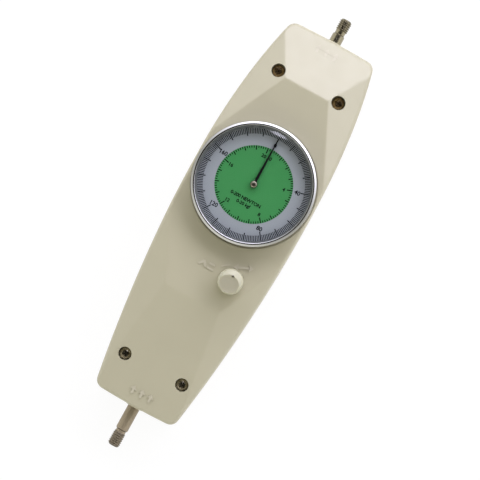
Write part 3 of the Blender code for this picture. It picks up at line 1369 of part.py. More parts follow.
def make_hold_pawl(steel, dark_steel):
    """The pawl beside the slide bar, its pin, its leaf spring and the ratchet strip."""
    strip_x = BAR_HALF_WIDTH + FIT
    crest = strip_x + RATCHET_THICKNESS
    root = crest - RATCHET_TOOTH
    first = PAWL_TOOTH_Y - TRAVEL - RATCHET_MARGIN
    teeth = math.ceil((TRAVEL + 2 * RATCHET_MARGIN) / RATCHET_PITCH)
    outline = [(strip_x, first + teeth * RATCHET_PITCH), (strip_x, first)]
    for i in range(teeth):
        outline += [(root, first + i * RATCHET_PITCH), (crest, first + (i + 1) * RATCHET_PITCH - GAP)]
    outline.append((root, first + teeth * RATCHET_PITCH))
    strip = prism(bmesh.new(), outline, ROD_Z - RATCHET_HALF_HEIGHT, ROD_Z + RATCHET_HALF_HEIGHT)
    piece("hold_ratchet", strip, dark_steel, (0, 0, ROD_Z))

    low = CAM_LOW_Z + (CAM_THICKNESS - PAWL_THICKNESS) / 2
    high = low + PAWL_THICKNESS
    tail_face = SELECTOR_X - CAM_THROW - CAM_RADIUS - GAP
    tail_back = tail_face - 2 * PAWL_ARM_HALF
    tooth_tip = crest + GAP + PAWL_LIFT
    tooth_back = tooth_tip + 2 * PAWL_ARM_HALF
    tail_end = SELECTOR_Y - PAWL_ARM_HALF
    arm = PAWL_ARM_HALF
    outline = [
        (tail_back, tail_end),
        (tail_face, tail_end),
        (tail_face, SELECTOR_Y + CAM_RADIUS + arm),
        (PAWL_X + PAWL_BOSS_RADIUS, PAWL_Y - arm),
        (PAWL_X + PAWL_BOSS_RADIUS, PAWL_Y + arm),
        (tooth_back + arm, PAWL_TOOTH_Y + arm),
        (tooth_back, PAWL_TOOTH_Y + arm),
        (tooth_tip, PAWL_TOOTH_Y + GAP),
        (tooth_tip, PAWL_TOOTH_Y),
        (tooth_back, PAWL_TOOTH_Y - arm),
        (PAWL_X - PAWL_BOSS_RADIUS, PAWL_Y + arm),
        (PAWL_X - PAWL_BOSS_RADIUS, PAWL_Y - arm),
        (tail_back, SELECTOR_Y + CAM_RADIUS),
    ]
    pivot = (PAWL_X, PAWL_Y)
    bore = PAWL_PIN_RADIUS + RUNNING
    pawl = piece("hold_pawl", prism(bmesh.new(), outline, low, high), steel, (*pivot, low))
    hole = drum(bmesh.new(), bore, low - GAP, high + GAP, SMALL_SEGMENTS, "Z", pivot)
    combine(pawl, hole, "DIFFERENCE", "pawl_bore_tool")

    pin = bmesh.new()
    head = PAWL_PIN_RADIUS + PAWL_ARM_HALF
    shoulder = low - GAP
    profile = [
        (0, CHASSIS_LOW_Z),
        (PAWL_PIN_RADIUS, CHASSIS_LOW_Z),
        (PAWL_PIN_RADIUS, ON_CHASSIS_Z),
        (head, ON_CHASSIS_Z),
        (head, shoulder),
        (PAWL_PIN_RADIUS, shoulder),
        (PAWL_PIN_RADIUS, high + GAP + FIT),
        (0, high + GAP + FIT),
    ]
    turn(pin, profile, SMALL_SEGMENTS, "Z", pivot)
    piece("pawl_pin", pin, steel)

    leaf = bmesh.new()
    near = tooth_back + arm + GAP
    rise = PAWL_TOOTH_Y + arm
    outline = [
        (near, rise - GAP),
        (near + LEAF_THICKNESS, rise - GAP),
        (near + LEAF_THICKNESS, rise + LEAF_LENGTH),
        (near, rise + LEAF_LENGTH),
    ]
    prism(leaf, outline, ON_CHASSIS_Z, high)
    piece("pawl_leaf_spring", leaf, dark_steel)


def main():
    """Makes every piece."""
    clear_scene()
    ivory = finish("ivory_abs", (0.78, 0.74, 0.62), 0.42)
    bronze = finish("bronze_screw", (0.36, 0.25, 0.13), 0.38, 1.0)
    bush_bronze = finish("bush_bronze", (0.55, 0.38, 0.2), 0.4, 1.0)
    steel = finish("ground_steel", (0.42, 0.38, 0.34), 0.3, 1.0)
    dark_steel = finish("dark_steel", (0.2, 0.19, 0.19), 0.4, 1.0)
    zinc = finish("zinc_plate", (0.62, 0.63, 0.6), 0.35, 1.0)
    brass = finish("brass", (0.72, 0.55, 0.25), 0.32, 1.0)
    spring_steel = finish("spring_steel", (0.3, 0.3, 0.31), 0.3, 1.0)
    chrome = finish("chrome", (0.8, 0.8, 0.8), 0.12, 1.0)
    black = finish("black_paint", (0.03, 0.03, 0.035), 0.45)
    printed = finish("dial_print", (0.35, 0.62, 0.38), 0.5)
    glass = finish("glass", (0.9, 0.93, 0.93), 0.05)
    frosted = finish("frosted_plastic", (0.85, 0.84, 0.76), 0.35)
    polymer = finish("white_polymer", (0.82, 0.82, 0.8), 0.5)

    make_front_cover(ivory)
    make_rear_cover(ivory)
    make_cover_screws(bronze)
    make_rod(steel, dark_steel)
    make_rack(steel)
    make_gears(brass, steel)
    make_movement_frame(brass, steel)
    make_springs(spring_steel)
    make_chassis(zinc, steel)
    make_bushes(bush_bronze)
    make_spring_bracket(zinc, steel)
    make_bar_guide(polymer)
    make_dial(chrome, black, printed, glass, steel)
    make_pointer(black, chrome)
    make_selector(frosted, steel, brass)
    make_hold_pawl(steel, dark_steel)


main()
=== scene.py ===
# %% [markdown]
# # A push-pull force gauge on a white table
#
# The object is a hand-held mechanical force gauge. A rod runs through an ivory plastic housing and
# stands out at both ends. A dial under glass shows the force, and a small knob beside it chooses
# whether the hand follows the force or stays at its peak.
#
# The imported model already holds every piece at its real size. This script loads it as a fixed frame
# and dresses it: it gives each surface its finish and swaps plain solids for finer meshes.

# %% Load the frame
import math

import bmesh
import bpy
from mathutils import Euler, Matrix, Vector


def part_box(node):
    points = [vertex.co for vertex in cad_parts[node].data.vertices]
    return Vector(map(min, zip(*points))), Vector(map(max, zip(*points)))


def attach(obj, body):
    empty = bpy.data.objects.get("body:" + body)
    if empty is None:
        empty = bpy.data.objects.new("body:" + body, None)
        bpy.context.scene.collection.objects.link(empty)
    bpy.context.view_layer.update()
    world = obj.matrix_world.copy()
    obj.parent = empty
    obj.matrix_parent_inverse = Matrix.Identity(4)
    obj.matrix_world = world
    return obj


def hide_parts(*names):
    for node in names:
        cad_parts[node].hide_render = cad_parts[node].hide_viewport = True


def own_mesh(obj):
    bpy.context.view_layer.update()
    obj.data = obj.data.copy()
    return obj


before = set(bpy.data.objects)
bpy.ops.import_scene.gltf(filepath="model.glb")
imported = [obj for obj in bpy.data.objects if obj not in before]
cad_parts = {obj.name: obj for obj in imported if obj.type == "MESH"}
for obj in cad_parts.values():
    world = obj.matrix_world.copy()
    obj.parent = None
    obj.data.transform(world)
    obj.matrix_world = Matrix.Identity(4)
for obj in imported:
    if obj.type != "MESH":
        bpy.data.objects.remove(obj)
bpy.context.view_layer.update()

MM = 0.001

# %% [markdown]
# ## The main sizes
#
# Sizes come from the frame where a node's box shows them. The housing's outline and the planes of its
# front can't be read from a box, so they are named here. They are the values that the construction
# uses: a width that tapers toward both ends, and ridges and creases where planes meet. Where the two
# ends differ, 1 stands for the pull end and -1 for the push end.

# %% Name the sizes
front_low, front_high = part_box("front_cover")
rear_low, rear_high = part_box("rear_cover")
bezel_low, bezel_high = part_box("bezel")
knob_low, knob_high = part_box("selector_knob")


def centre_of(node):
    """The middle of a node's box, seen from the front."""
    low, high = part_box(node)
    return ((low.x + high.x) / 2, (low.y + high.y) / 2)


DIAL_CENTRE = centre_of("bezel")
KNOB_CENTRE = centre_of("selector_knob")
FRONT_Z = front_high.z
ROD_Z = (front_low.z + rear_high.z) / 2

HALF_WIDTH = 30.25 * MM
WIDEST_Y = 20.0 * MM
CORNER_RADIUS = 4.5 * MM
END_BULGE = 0.4 * MM
WALL = 2.4 * MM
END_Y = {1: 101.9 * MM, -1: -93.4 * MM}
TAPER = {1: 8.8 * MM, -1: 9.4 * MM}
TAPER_POWER = {1: 2.5, -1: 1.95}
RIDGE = {1: (11.3 * MM, 74.9 * MM), -1: (14.3 * MM, -35.3 * MM)}
CREASE_Y = {1: 35.9 * MM, -1: -1.5 * MM}
CORNER = {1: (22.2 * MM, 94.5 * MM), -1: (21.6 * MM, -87.3 * MM)}
FALL = {1: 12.4 * MM, -1: 12.7 * MM}
print(f"front face at {FRONT_Z / MM:.1f} mm, rod axis at {ROD_Z / MM:.1f} mm")

# %% [markdown]
# ## Small tools for making meshes
#
# Most pieces of an instrument are turned, pressed or cut from sheet. So a few helpers carry nearly all
# of the work: one turns a profile round an axis, one raises an outline into a prism, and one cuts or
# joins two solids. `fit` gives a piece its finish, hides the plain solid that it stands for and ties it
# to the body that carries it.

# %% Mesh helpers
def stitch(shape, rings, capped=False, hollow=False):
    """Joins rings of points with faces. A ring of a single point makes a tip."""
    if capped:
        shape.faces.new(rings[0])
        shape.faces.new(rings[-1])
    pairs = list(zip(rings, rings[1:])) + ([(rings[-1], rings[0])] if hollow else [])
    for low, high in pairs:
        for spoke in range(max(len(low), len(high))):
            after = spoke + 1
            corners = [low[spoke % len(low)], low[after % len(low)]]
            corners += [high[after % len(high)], high[spoke % len(high)]]
            unlike = list(dict.fromkeys(corners))
            if len(unlike) > 2:
                shape.faces.new(unlike)
    return shape


def spokes(shape, radii, height, along="Z", centre=(0.0, 0.0)):
    """Adds a ring of points round an axis, each at its own radius."""
    ring = []
    for spoke, radius in enumerate(radii):
        angle = 2 * math.pi * spoke / len(radii)
        across = radius * math.cos(angle) + centre[0]
        aside = radius * math.sin(angle) + centre[1]
        spot = (across, aside, height) if along == "Z" else (across, height, aside)
        ring.append(shape.verts.new(spot))
    return ring


def lathe(shape, profile, segments, along="Z", centre=(0.0, 0.0), hollow=False):
    """Adds a turned solid. The profile holds (radius, height along the axis) pairs."""
    rings = []
    for radius, height in profile:
        radii = [radius] * (segments if radius else 1)
        rings.append(spokes(shape, radii, height, along, centre))
    return stitch(shape, rings, hollow=hollow)


def drum(shape, radius, low, high, segments=48, along="Z", centre=(0.0, 0.0)):
    """Adds a plain cylinder."""
    return lathe(shape, [(0, low), (radius, low), (radius, high), (0, high)], segments, along, centre)


def prism(shape, outline, low, high):
    """Adds an upright prism between two heights."""
    rings = [[shape.verts.new((x, y, height)) for x, y in outline] for height in (low, high)]
    return stitch(shape, rings, capped=True)


def put(name, data):
    """Puts a mesh, a curve or a camera in the scene."""
    thing = bpy.data.objects.new(name, data)
    bpy.context.collection.objects.link(thing)
    return thing


def loose(name, shape):
    """An object made from a bmesh, with its normals outward."""
    bmesh.ops.recalc_face_normals(shape, faces=shape.faces)
    mesh = bpy.data.meshes.new(name)
    shape.to_mesh(mesh)
    shape.free()
    return put(name, mesh)


def taken_back(thing):
    """Turns a loose object back into a bmesh."""
    shape = bmesh.new()
    shape.from_mesh(thing.data)
    bpy.data.objects.remove(thing)
    return shape


def final_mesh(thing):
    """An object's mesh as its modifiers or its curve's section leave it."""
    graph = bpy.context.evaluated_depsgraph_get()
    return bpy.data.meshes.new_from_object(thing.evaluated_get(graph))


def carve(thing, tool_shape, operation="DIFFERENCE"):
    """Cuts a tool from an object, or joins it on, and keeps the result as its mesh."""
    tool = loose("tool", tool_shape)
    modifier = thing.modifiers.new("carve", "BOOLEAN")
    modifier.operation = operation
    modifier.solver = "EXACT"
    modifier.object = tool
    carved = final_mesh(thing)
    thing.modifiers.clear()
    thing.data = carved
    bpy.data.objects.remove(tool)
    return thing


def fit(thing, finish, slot, body, *nodes, angle=30):
    """Gives a piece its finish and its body, and hides the nodes that it stands for. The slot is not used.
    """
    thing.data.materials.clear()
    thing.data.materials.append(finish)
    thing.data.shade_smooth()
    thing.data.set_sharp_from_angle(angle=math.radians(angle))
    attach(thing, body)
    if nodes:
        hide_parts(*nodes)
    print(f"{thing.name}: {len(thing.data.polygons)} faces on {body}")


# %% [markdown]
# ## How the finishes are built
#
# No real surface has one flat colour. Each finish here starts from a Principled shader and adds three
# layers of procedural noise: a slow one lets the colour drift, a middle one varies the gloss, and a
# fine one becomes a bump map for grain or tool marks. Stretching the noise along one axis turns grain
# into the fine lines that a lathe or a belt leaves. The slope helper paints light and shade into a
# finish: it gives the slopes of a piece a lighter or darker colour of their own, painted light or
# painted shade for how the light falls on them. Everything is measured in the piece's own space, so a
# finish keeps its scale and moves with its piece.

# %% Finish helpers
def feed(tree, node, inputs):
    """Fills a node's inputs: sockets are linked, and other values are written in."""
    for name, value in inputs.items():
        if isinstance(value, bpy.types.NodeSocket):
            tree.links.new(value, node.inputs[name])
        else:
            node.inputs[name].default_value = value
    return node


def add_node(tree, kind, inputs=(), **settings):
    """Adds a shader node with its settings and inputs."""
    node = tree.nodes.new("ShaderNode" + kind)
    for name, value in settings.items():
        setattr(node, name, value)
    return feed(tree, node, dict(inputs))


def reckon(tree, operation, *values):
    """A Math node on sockets or plain numbers."""
    return add_node(tree, "Math", enumerate(values), operation=operation).outputs["Value"]


def noise(tree, source, size, stretch=(1, 1, 1), detail=2.0):
    """A noise texture whose features are about the given size, with its axes stretched."""
    place = add_node(tree, "Mapping", {"Vector": source, "Scale": stretch}).outputs["Vector"]
    texture = add_node(tree, "TexNoise", {"Vector": place, "Scale": 1 / size, "Detail": detail})
    return texture.outputs["Fac"]


def spread(tree, value, low, high, limits=(0.3, 0.7), **settings):
    """Maps a value between two limits onto a range."""
    ends = {"From Min": limits[0], "From Max": limits[1], "To Min": low, "To Max": high}
    return add_node(tree, "MapRange", {"Value": value, **ends}, **settings).outputs["Result"]


def blend_colours(tree, factor, *colours):
    """Mixes two colours by a factor socket."""
    first, second = [(*colour, 1.0) if isinstance(colour, tuple) else colour for colour in colours]
    return add_node(tree, "Mix", {"Factor": factor, 6: first, 7: second}, data_type="RGBA").outputs[2]


def finish(
    name,
    colour,
    shade,
    roughness,
    gloss_range=0.05,
    drift=18 * MM,
    grain=0.35 * MM,
    relief=0.006 * MM,
    stretch=(1, 1, 1),
    metallic=0.0,
    inputs=(),
):
    """A finish with drifting colour, uneven gloss and a fine relief."""
    made = bpy.data.materials.new(name)
    made.use_nodes = True
    tree = made.node_tree
    place = add_node(tree, "TexCoord").outputs["Object"]
    slow = spread(tree, noise(tree, place, drift), 0.0, 1.0)
    patches = noise(tree, place, drift / 4, stretch)
    fine = noise(tree, place, grain, stretch, 3.0)
    bump = add_node(tree, "Bump", {"Strength": 1.0, "Distance": relief, "Height": fine})
    looks = {
        "Base Color": blend_colours(tree, slow, colour, shade),
        "Roughness": spread(tree, patches, roughness - gloss_range, roughness + gloss_range),
        "Normal": bump.outputs["Normal"],
        "Metallic": metallic,
    }
    feed(tree, tree.nodes["Principled BSDF"], {**looks, **dict(inputs)})
    return made


def tone_slopes(made, painted_slope_colour, steep, level, axis="Z"):
    """Paints light or shade on slopes: they get a colour of their own. The limits are parts of a unit
    normal along the axis.
    """
    tree = made.node_tree
    base = tree.nodes["Principled BSDF"].inputs["Base Color"]
    normal = add_node(tree, "TexCoord").outputs["Normal"]
    part = add_node(tree, "SeparateXYZ", {"Vector": normal}).outputs[axis]
    levelness = spread(tree, reckon(tree, "ABSOLUTE", part), 0.0, 1.0, (steep, level))
    tree.links.new(blend_colours(tree, levelness, painted_slope_colour, base.links[0].from_socket), base)


# %% [markdown]
# ## The finishes
#
# The housing is ivory ABS from a lightly spark-eroded mould, with a satin sheen. Its raised marks are
# painted a little paler than the housing: a painted highlight for the light that their slopes catch.
# The two ends of the rod are turned steel, one bright and one dull. The screws are yellow-passivated
# at the pull end and worn to grey at the other. The bezel is polished chrome, and the knob is milky
# plastic that light enters. The inner pieces are zinc-plated sheet, brass, bronze and spring steel:
# the covers hide them, but a reader who lifts a cover finds them finished too.

# %% Make the finishes
TURNED_LINES = (0.06, 6.0, 0.06)
SPECK = 1.5 * MM
rod_lines = {"grain": 0.5 * MM, "relief": 0.01 * MM, "stretch": TURNED_LINES}
ink = {"IOR": 1.2}
subsurface = {
    "Subsurface Weight": 0.35,
    "Subsurface Radius": (1.0, 0.9, 0.7),
    "Subsurface Scale": 1.5 * MM,
}
ivory = finish(
    "ivory_plastic", (0.503, 0.473, 0.343), (0.487, 0.457, 0.331), 0.38, 0.04, inputs={"IOR": 1.65}
)
# Painted highlight: a paler copy of the ivory for the raised marks, for the light that their slopes catch.
relief_painted_light = finish("relief_painted_light", (0.56, 0.525, 0.41), (0.54, 0.505, 0.395), 0.4, 0.04)
chrome = finish(
    "bright_chrome", (0.43, 0.43, 0.435), (0.39, 0.39, 0.40), 0.16, 0.01, relief=0.0003 * MM, metallic=1.0
)
rod_steel = finish(
    "turned_steel", (0.40, 0.36, 0.255), (0.33, 0.295, 0.205), 0.28, **rod_lines, metallic=1.0
)
brushed_steel = finish(
    "brushed_steel", (0.37, 0.305, 0.21), (0.32, 0.265, 0.18), 0.42, 0.06, **rod_lines, metallic=0.35
)
screw_bronze = finish(
    "passivated_steel", (0.38, 0.275, 0.15), (0.22, 0.15, 0.075), 0.26, 0.06, drift=SPECK, metallic=1.0
)
screw_zinc = finish(
    "worn_zinc", (0.52, 0.48, 0.38), (0.34, 0.29, 0.21), 0.26, 0.06, drift=SPECK, metallic=1.0
)
black_satin = finish("black_satin", (0.005, 0.005, 0.006), (0.009, 0.009, 0.01), 0.65, inputs=ink)
grey_satin = finish("grey_satin", (0.15, 0.155, 0.165), (0.12, 0.125, 0.135), 0.3)
print_black = finish(
    "print_ink", (0.004, 0.005, 0.006), (0.008, 0.009, 0.01), 0.75, drift=3 * MM, inputs=ink
)
dial_grey = finish("dial_enamel", (0.395, 0.42, 0.462), (0.375, 0.399, 0.44), 0.46)
dial_green = finish("green_enamel", (0.057, 0.309, 0.091), (0.051, 0.294, 0.084), 0.48)
hub_silver = finish("hub_nickel", (0.33, 0.295, 0.24), (0.27, 0.24, 0.19), 0.27, metallic=1.0)
milky = finish("milky_plastic", (0.425, 0.402, 0.302), (0.407, 0.385, 0.287), 0.33, inputs=subsurface)
# Painted light on the bezel: its steep walls are painted pale and its level faces dark, a painted
# reflection that lights the ivory beside it and painted shade on the tops.
tone_slopes(chrome, (0.72, 0.72, 0.73), 0.0, 0.35)
# Painted shade on the rod ends: faces that turn along the rod, the thread's flanks, chamfers and shoulders,
# are painted darker for the shade in the thread's grooves.
tone_slopes(rod_steel, (0.2, 0.18, 0.13), 0.75, 0.35, "Y")
tone_slopes(brushed_steel, (0.15, 0.125, 0.09), 0.6, 0.1, "Y")
# Painted light on the knob: its shoulder and barrel are painted paler than its level top, for the light
# that comes through the milky rim.
tone_slopes(milky, (0.482, 0.466, 0.335), 0.95, 0.997)
inner_finishes = {
    "zinc_plate": finish("bright_zinc", (0.62, 0.64, 0.62), (0.52, 0.56, 0.6), 0.32, 0.1, metallic=1.0),
    "ground_steel": rod_steel,
    "dark_steel": finish("blackened_steel", (0.1, 0.1, 0.11), (0.06, 0.06, 0.065), 0.4, metallic=1.0),
    "bush_bronze": finish("sintered_bronze", (0.5, 0.33, 0.17), (0.4, 0.26, 0.12), 0.45, metallic=1.0),
    "brass": finish("lapped_brass", (0.76, 0.58, 0.27), (0.68, 0.5, 0.22), 0.26, metallic=1.0),
    "white_polymer": finish("white_acetal", (0.76, 0.76, 0.74), (0.7, 0.7, 0.68), 0.42),
    "spring_steel": finish("blued_spring", (0.24, 0.25, 0.28), (0.16, 0.17, 0.2), 0.28, metallic=1.0),
    "ivory_abs": ivory,
    "bronze_screw": screw_bronze,
    "chrome": chrome,
    "black_paint": black_satin,
    "dial_print": dial_grey,
    "glass": milky,
    "frosted_plastic": milky,
}
for name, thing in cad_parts.items():
    for place in thing.material_slots:
        place.material = inner_finishes[place.material.name.split(".")[0]]
print(len(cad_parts), "nodes finished")

# %% [markdown]
# ## The outline of the housing
#
# Seen from the front, the housing is widest just above its middle and draws in toward both ends along
# smooth curves. The corners are rounded. The outline is drawn first as a core that lies one corner
# radius inside, and then grown outward. Growing rounds the corners by itself, and growing by a little
# less gives the inner loops that the rounded rim needs.

# %% Draw the outline
SIDE_STATIONS = 64
END_STATIONS = 24
CORNER_STEPS = 9
LEAST_CORNER = math.radians(30)


def half_width(y):
    """Half the housing's width at a place along it."""
    way = 1 if y > WIDEST_Y else -1
    share = (y - WIDEST_Y) / (END_Y[way] - WIDEST_Y)
    return HALF_WIDTH - TAPER[way] * share ** TAPER_POWER[way]


def core_outline():
    """The outline one corner radius inside the wall."""
    low, high = (END_Y[way] - way * (CORNER_RADIUS + END_BULGE) for way in (-1, 1))
    levels = [low + (high - low) * i / SIDE_STATIONS for i in range(SIDE_STATIONS + 1)]
    side = [(half_width(y) - CORNER_RADIUS, y) for y in levels]
    shares = [1 - 2 * i / END_STATIONS for i in range(1, END_STATIONS)]
    pull_end = [(side[-1][0] * share, high + END_BULGE * (1 - share**2)) for share in shares]
    push_end = [(-side[0][0] * share, low - END_BULGE * (1 - share**2)) for share in shares]
    return side + pull_end + [(-x, y) for x, y in reversed(side)] + push_end


def grown(core, distance):
    """Offsets a convex outline outward, with an arc round each real corner."""
    outline = []
    count = len(core)
    for i in range(count):
        before, here, after = (Vector(core[(i + k) % count]) for k in (-1, 0, 1))
        into, out = here - before, after - here
        sweep = abs(into.angle_signed(out))
        steps = CORNER_STEPS if sweep > LEAST_CORNER else 0
        start = math.atan2(into.y, into.x) - math.pi / 2
        for k in range(steps + 1):
            angle = start + (sweep * k / steps if steps else sweep / 2)
            outline.append((here.x + distance * math.cos(angle), here.y + distance * math.sin(angle)))
    return outline


core = core_outline()
print(len(grown(core, CORNER_RADIUS)), "points round the housing")

# %% [markdown]
# ## The planes of the front
#
# The front is flat in the middle. Three planes fall away from it toward each end, and they meet in
# creases. A mould maker breaks such creases with a small radius. A soft minimum of the plane heights
# gives that: it equals the lowest plane everywhere except within about a millimetre of a crease.

# %% Work out the front's height
CREASE_SHARPNESS = 9.0 / MM


def plane_through(first, second, third):
    """A point and a unit normal that points up."""
    a, b, c = Vector(first), Vector(second), Vector(third)
    normal = (b - a).cross(c - a).normalized()
    return a, normal if normal.z > 0 else -normal


def sloping_planes():
    """The six planes that slope away from the flat middle."""
    planes = []
    for way, (x, y) in RIDGE.items():
        end, fall, crease = END_Y[way], FALL[way], CREASE_Y[way]
        planes.append(plane_through((-x, y, FRONT_Z), (x, y, FRONT_Z), (0, end, FRONT_Z - fall)))
        corner_x, corner_y = CORNER[way]
        corner_z = FRONT_Z - fall * (corner_y - y) / (end - y)
        for side in (-1, 1):
            inside = (side * x, y, FRONT_Z)
            wide = (side * half_width(crease), crease, FRONT_Z)
            planes.append(plane_through(inside, wide, (side * corner_x, corner_y, corner_z)))
    return planes


PLANES = sloping_planes()


def front_height(x, y):
    """Height of the front's surface, with its creases rounded."""
    heights = [FRONT_Z]
    for point, normal in PLANES:
        heights.append(point.z - (normal.x * (x - point.x) + normal.y * (y - point.y)) / normal.z)
    lowest = min(heights)
    total = sum(math.exp(-CREASE_SHARPNESS * (height - lowest)) for height in heights)
    return lowest - math.log(total) / CREASE_SHARPNESS


def crease_lines():
    """For each crease: the end it belongs to, a point on it and the direction across it."""
    lines = []
    for way, (x, y) in RIDGE.items():
        lines.append((way, Vector((0, y, 0)), Vector((0, 1, 0))))
        for side in (-1, 1):
            start = Vector((side * x, y, 0))
            for far_x, far_y in ((half_width(CREASE_Y[way]), CREASE_Y[way]), CORNER[way]):
                along = (Vector((side * far_x, far_y, 0)) - start).normalized()
                lines.append((way, start, Vector((-along.y, along.x, 0))))
    return lines


print("height over the pull end:", round(front_height(0, END_Y[1]) / MM, 2), "mm")

# %% [markdown]
# ## The two covers
#
# Each cover is a shell with posts for its screws. The front one starts as a flat plate with a rounded
# rim. It is scored along every crease, several times side by side, so that there are points wherever
# the surface bends, and along a plain grid as well, which keeps its faces small. Then each point of the
# top is brought to the height of the front. The hollow, the posts, the screw wells and the holes are
# cut afterwards. The rear one has a flat back with a larger round.

# %% Build the cover bodies
RIM_ROUND = 1.6 * MM
BACK_ROUND = 3.0 * MM
ROUND_STEPS = 7
SCORE_OFFSETS = (-2.4, -1.5, -0.9, -0.4, 0.0, 0.4, 0.9, 1.5, 2.4)
SCORE_SPACING = 8.0 * MM
SLIVER = 0.03 * MM
COLLAR_PROFILE = ((7.3, 0.0), (6.4, 0.12), (5.6, 0.36), (5.0, 0.6), (4.5, 0.75), (4.2, 0.8))
ROD_HOLE_RADIUS = 3.5 * MM


def rounded_plate(radius, level, seam):
    """A plate under the outline, from a seam height to a face with a rounded rim."""
    way = 1 if level > seam else -1
    loops = [(0.0, seam)]
    for step in range(ROUND_STEPS + 1):
        angle = math.pi / 2 * step / ROUND_STEPS
        loops.append((radius * (1 - math.cos(angle)), level - way * radius * (1 - math.sin(angle))))
    shape = bmesh.new()
    rings = []
    for inset, height in loops:
        outline = grown(core, CORNER_RADIUS - inset)
        rings.append([shape.verts.new((x, y, height)) for x, y in outline])
    return stitch(shape, rings, capped=True)


def score(shape, place, across, faces=None):
    """Cuts faces where a plane passes, and keeps both sides."""
    faces = shape.faces[:] if faces is None else faces
    edges = {edge for face in faces for edge in face.edges}
    verts = {vert for face in faces for vert in face.verts}
    geometry = [*verts, *edges, *faces]
    bmesh.ops.bisect_plane(shape, geom=geometry, plane_co=place, plane_no=across, dist=SLIVER)


def raise_front(shape, seam, offsets=SCORE_OFFSETS, spacing=SCORE_SPACING):
    """Scores a flat plate along the creases and brings its top to the front's height."""
    middle = sum(CREASE_Y.values()) / 2
    score(shape, Vector((0, middle, 0)), Vector((0, 1, 0)))
    for way, point, across in crease_lines():
        for offset in offsets:
            near = [face for face in shape.faces if way * (face.calc_center_median().y - middle) > 0]
            score(shape, point + across * offset * MM, across, near)
    for along in (Vector((1, 0, 0)), Vector((0, 1, 0))):
        reach = max(abs(vert.co.dot(along)) for vert in shape.verts)
        count = int(reach / spacing)
        for number in range(-count, count + 1):
            score(shape, along * number * spacing, along)
    bmesh.ops.remove_doubles(shape, verts=shape.verts, dist=SLIVER)
    for vert in shape.verts:
        if vert.co.z > seam + MM:
            vert.co.z += front_height(vert.co.x, vert.co.y) - FRONT_Z
    bmesh.ops.triangulate(shape, faces=shape.faces)
    return shape


def half_collars(side):
    """The swellings round the rod holes, kept on one side of the seam."""
    shape = bmesh.new()
    for way, end in END_Y.items():
        root = end - way * WALL / 2
        profile = [(0, root), (COLLAR_PROFILE[0][0] * MM, root)]
        profile += [(radius * MM, end + way * height * MM) for radius, height in COLLAR_PROFILE]
        profile.append((0, profile[-1][1]))
        lathe(shape, profile, 96, "Y", (0, ROD_Z))
    level = front_low.z if side > 0 else rear_high.z
    everything = shape.verts[:] + shape.edges[:] + shape.faces[:]
    cut = bmesh.ops.bisect_plane(
        shape, geom=everything, plane_co=(0, 0, level), plane_no=(0, 0, -side), clear_outer=True
    )
    edges = [part for part in cut["geom_cut"] if isinstance(part, bmesh.types.BMEdge)]
    bmesh.ops.edgeloop_fill(shape, edges=edges)
    return shape


def rod_holes():
    """Cutters along the rod through both end walls."""
    shape = bmesh.new()
    for end in END_Y.values():
        drum(shape, ROD_HOLE_RADIUS, end - 2 * WALL, end + 2 * WALL, 64, "Y", (0, ROD_Z))
    return shape


front_shell = loose("front_shell", raise_front(rounded_plate(RIM_ROUND, FRONT_Z, front_low.z), front_low.z))
rear_shell = loose("rear_shell", rounded_plate(BACK_ROUND, rear_low.z, rear_high.z))
print("front plate:", len(front_shell.data.polygons), "faces")

# %% [markdown]
# ## Wells, posts and openings
#
# Four long screws clamp the covers. Each sits deep in a well in the front cover, on a post that reaches
# the seam. The wells are read from the screws' own places in the frame, so that they line up. The
# hollow is cut as a thinner copy of the body with the posts left standing. A narrow groove round the
# bezel's foot leaves the dark line that shows where one piece ends and the other begins.

# %% Hollow and drill the covers
CLEAR = 2.0 * MM
POST_RADIUS = 4.8 * MM
BOSS_RADIUS = 3.4 * MM
BOSS_BORE_RADIUS = 1.4 * MM
BOSS_GAP = 0.3 * MM
WELL_RADII = {1: 3.35 * MM, -1: 3.2 * MM}
HEAD_HEIGHT = 1.9 * MM
SHANK_RADIUS = 1.5 * MM
SHANK_CLEARANCE = 0.2 * MM
DIAL_OPENING_RADIUS = 9.0 * MM
SPINDLE_HOLE_RADIUS = 2.0 * MM
CASE_SCREW_HOLE_RADIUS = 1.0 * MM
GROOVE_RADII = (28.4 * MM, 29.6 * MM)
GROOVE_DEPTH = 0.6 * MM
screw_names = [f"cover_screw_{number}" for number in range(1, 5)]
screw_places = [centre_of(name) for name in screw_names]
case_screw_places = [centre_of(f"case_screw_{number}") for number in range(1, 4)]
boss_places = [centre_of(f"chassis_screw_{number}") for number in range(1, 5)]
shank_hole = SHANK_RADIUS + SHANK_CLEARANCE
seam_under = front_low.z - CLEAR
above = FRONT_Z + CLEAR


def columns(shape, radius, low, high, places, segments):
    """Adds upright cylinders of one size at several places."""
    for place in places:
        drum(shape, radius, low, high, segments, "Z", place)
    return shape


def inner_prism(low, high):
    """The outline drawn in by the wall, between two heights."""
    return prism(bmesh.new(), grown(core, CORNER_RADIUS - WALL), low, high)


hollow = raise_front(inner_prism(seam_under, FRONT_Z - WALL), front_low.z, (0.0,), 4 * SCORE_SPACING)
posts = columns(bmesh.new(), POST_RADIUS, seam_under - CLEAR, above, screw_places, 32)
carve(front_shell, taken_back(carve(loose("front_hollow", hollow), posts)))
carve(front_shell, half_collars(1), "UNION")

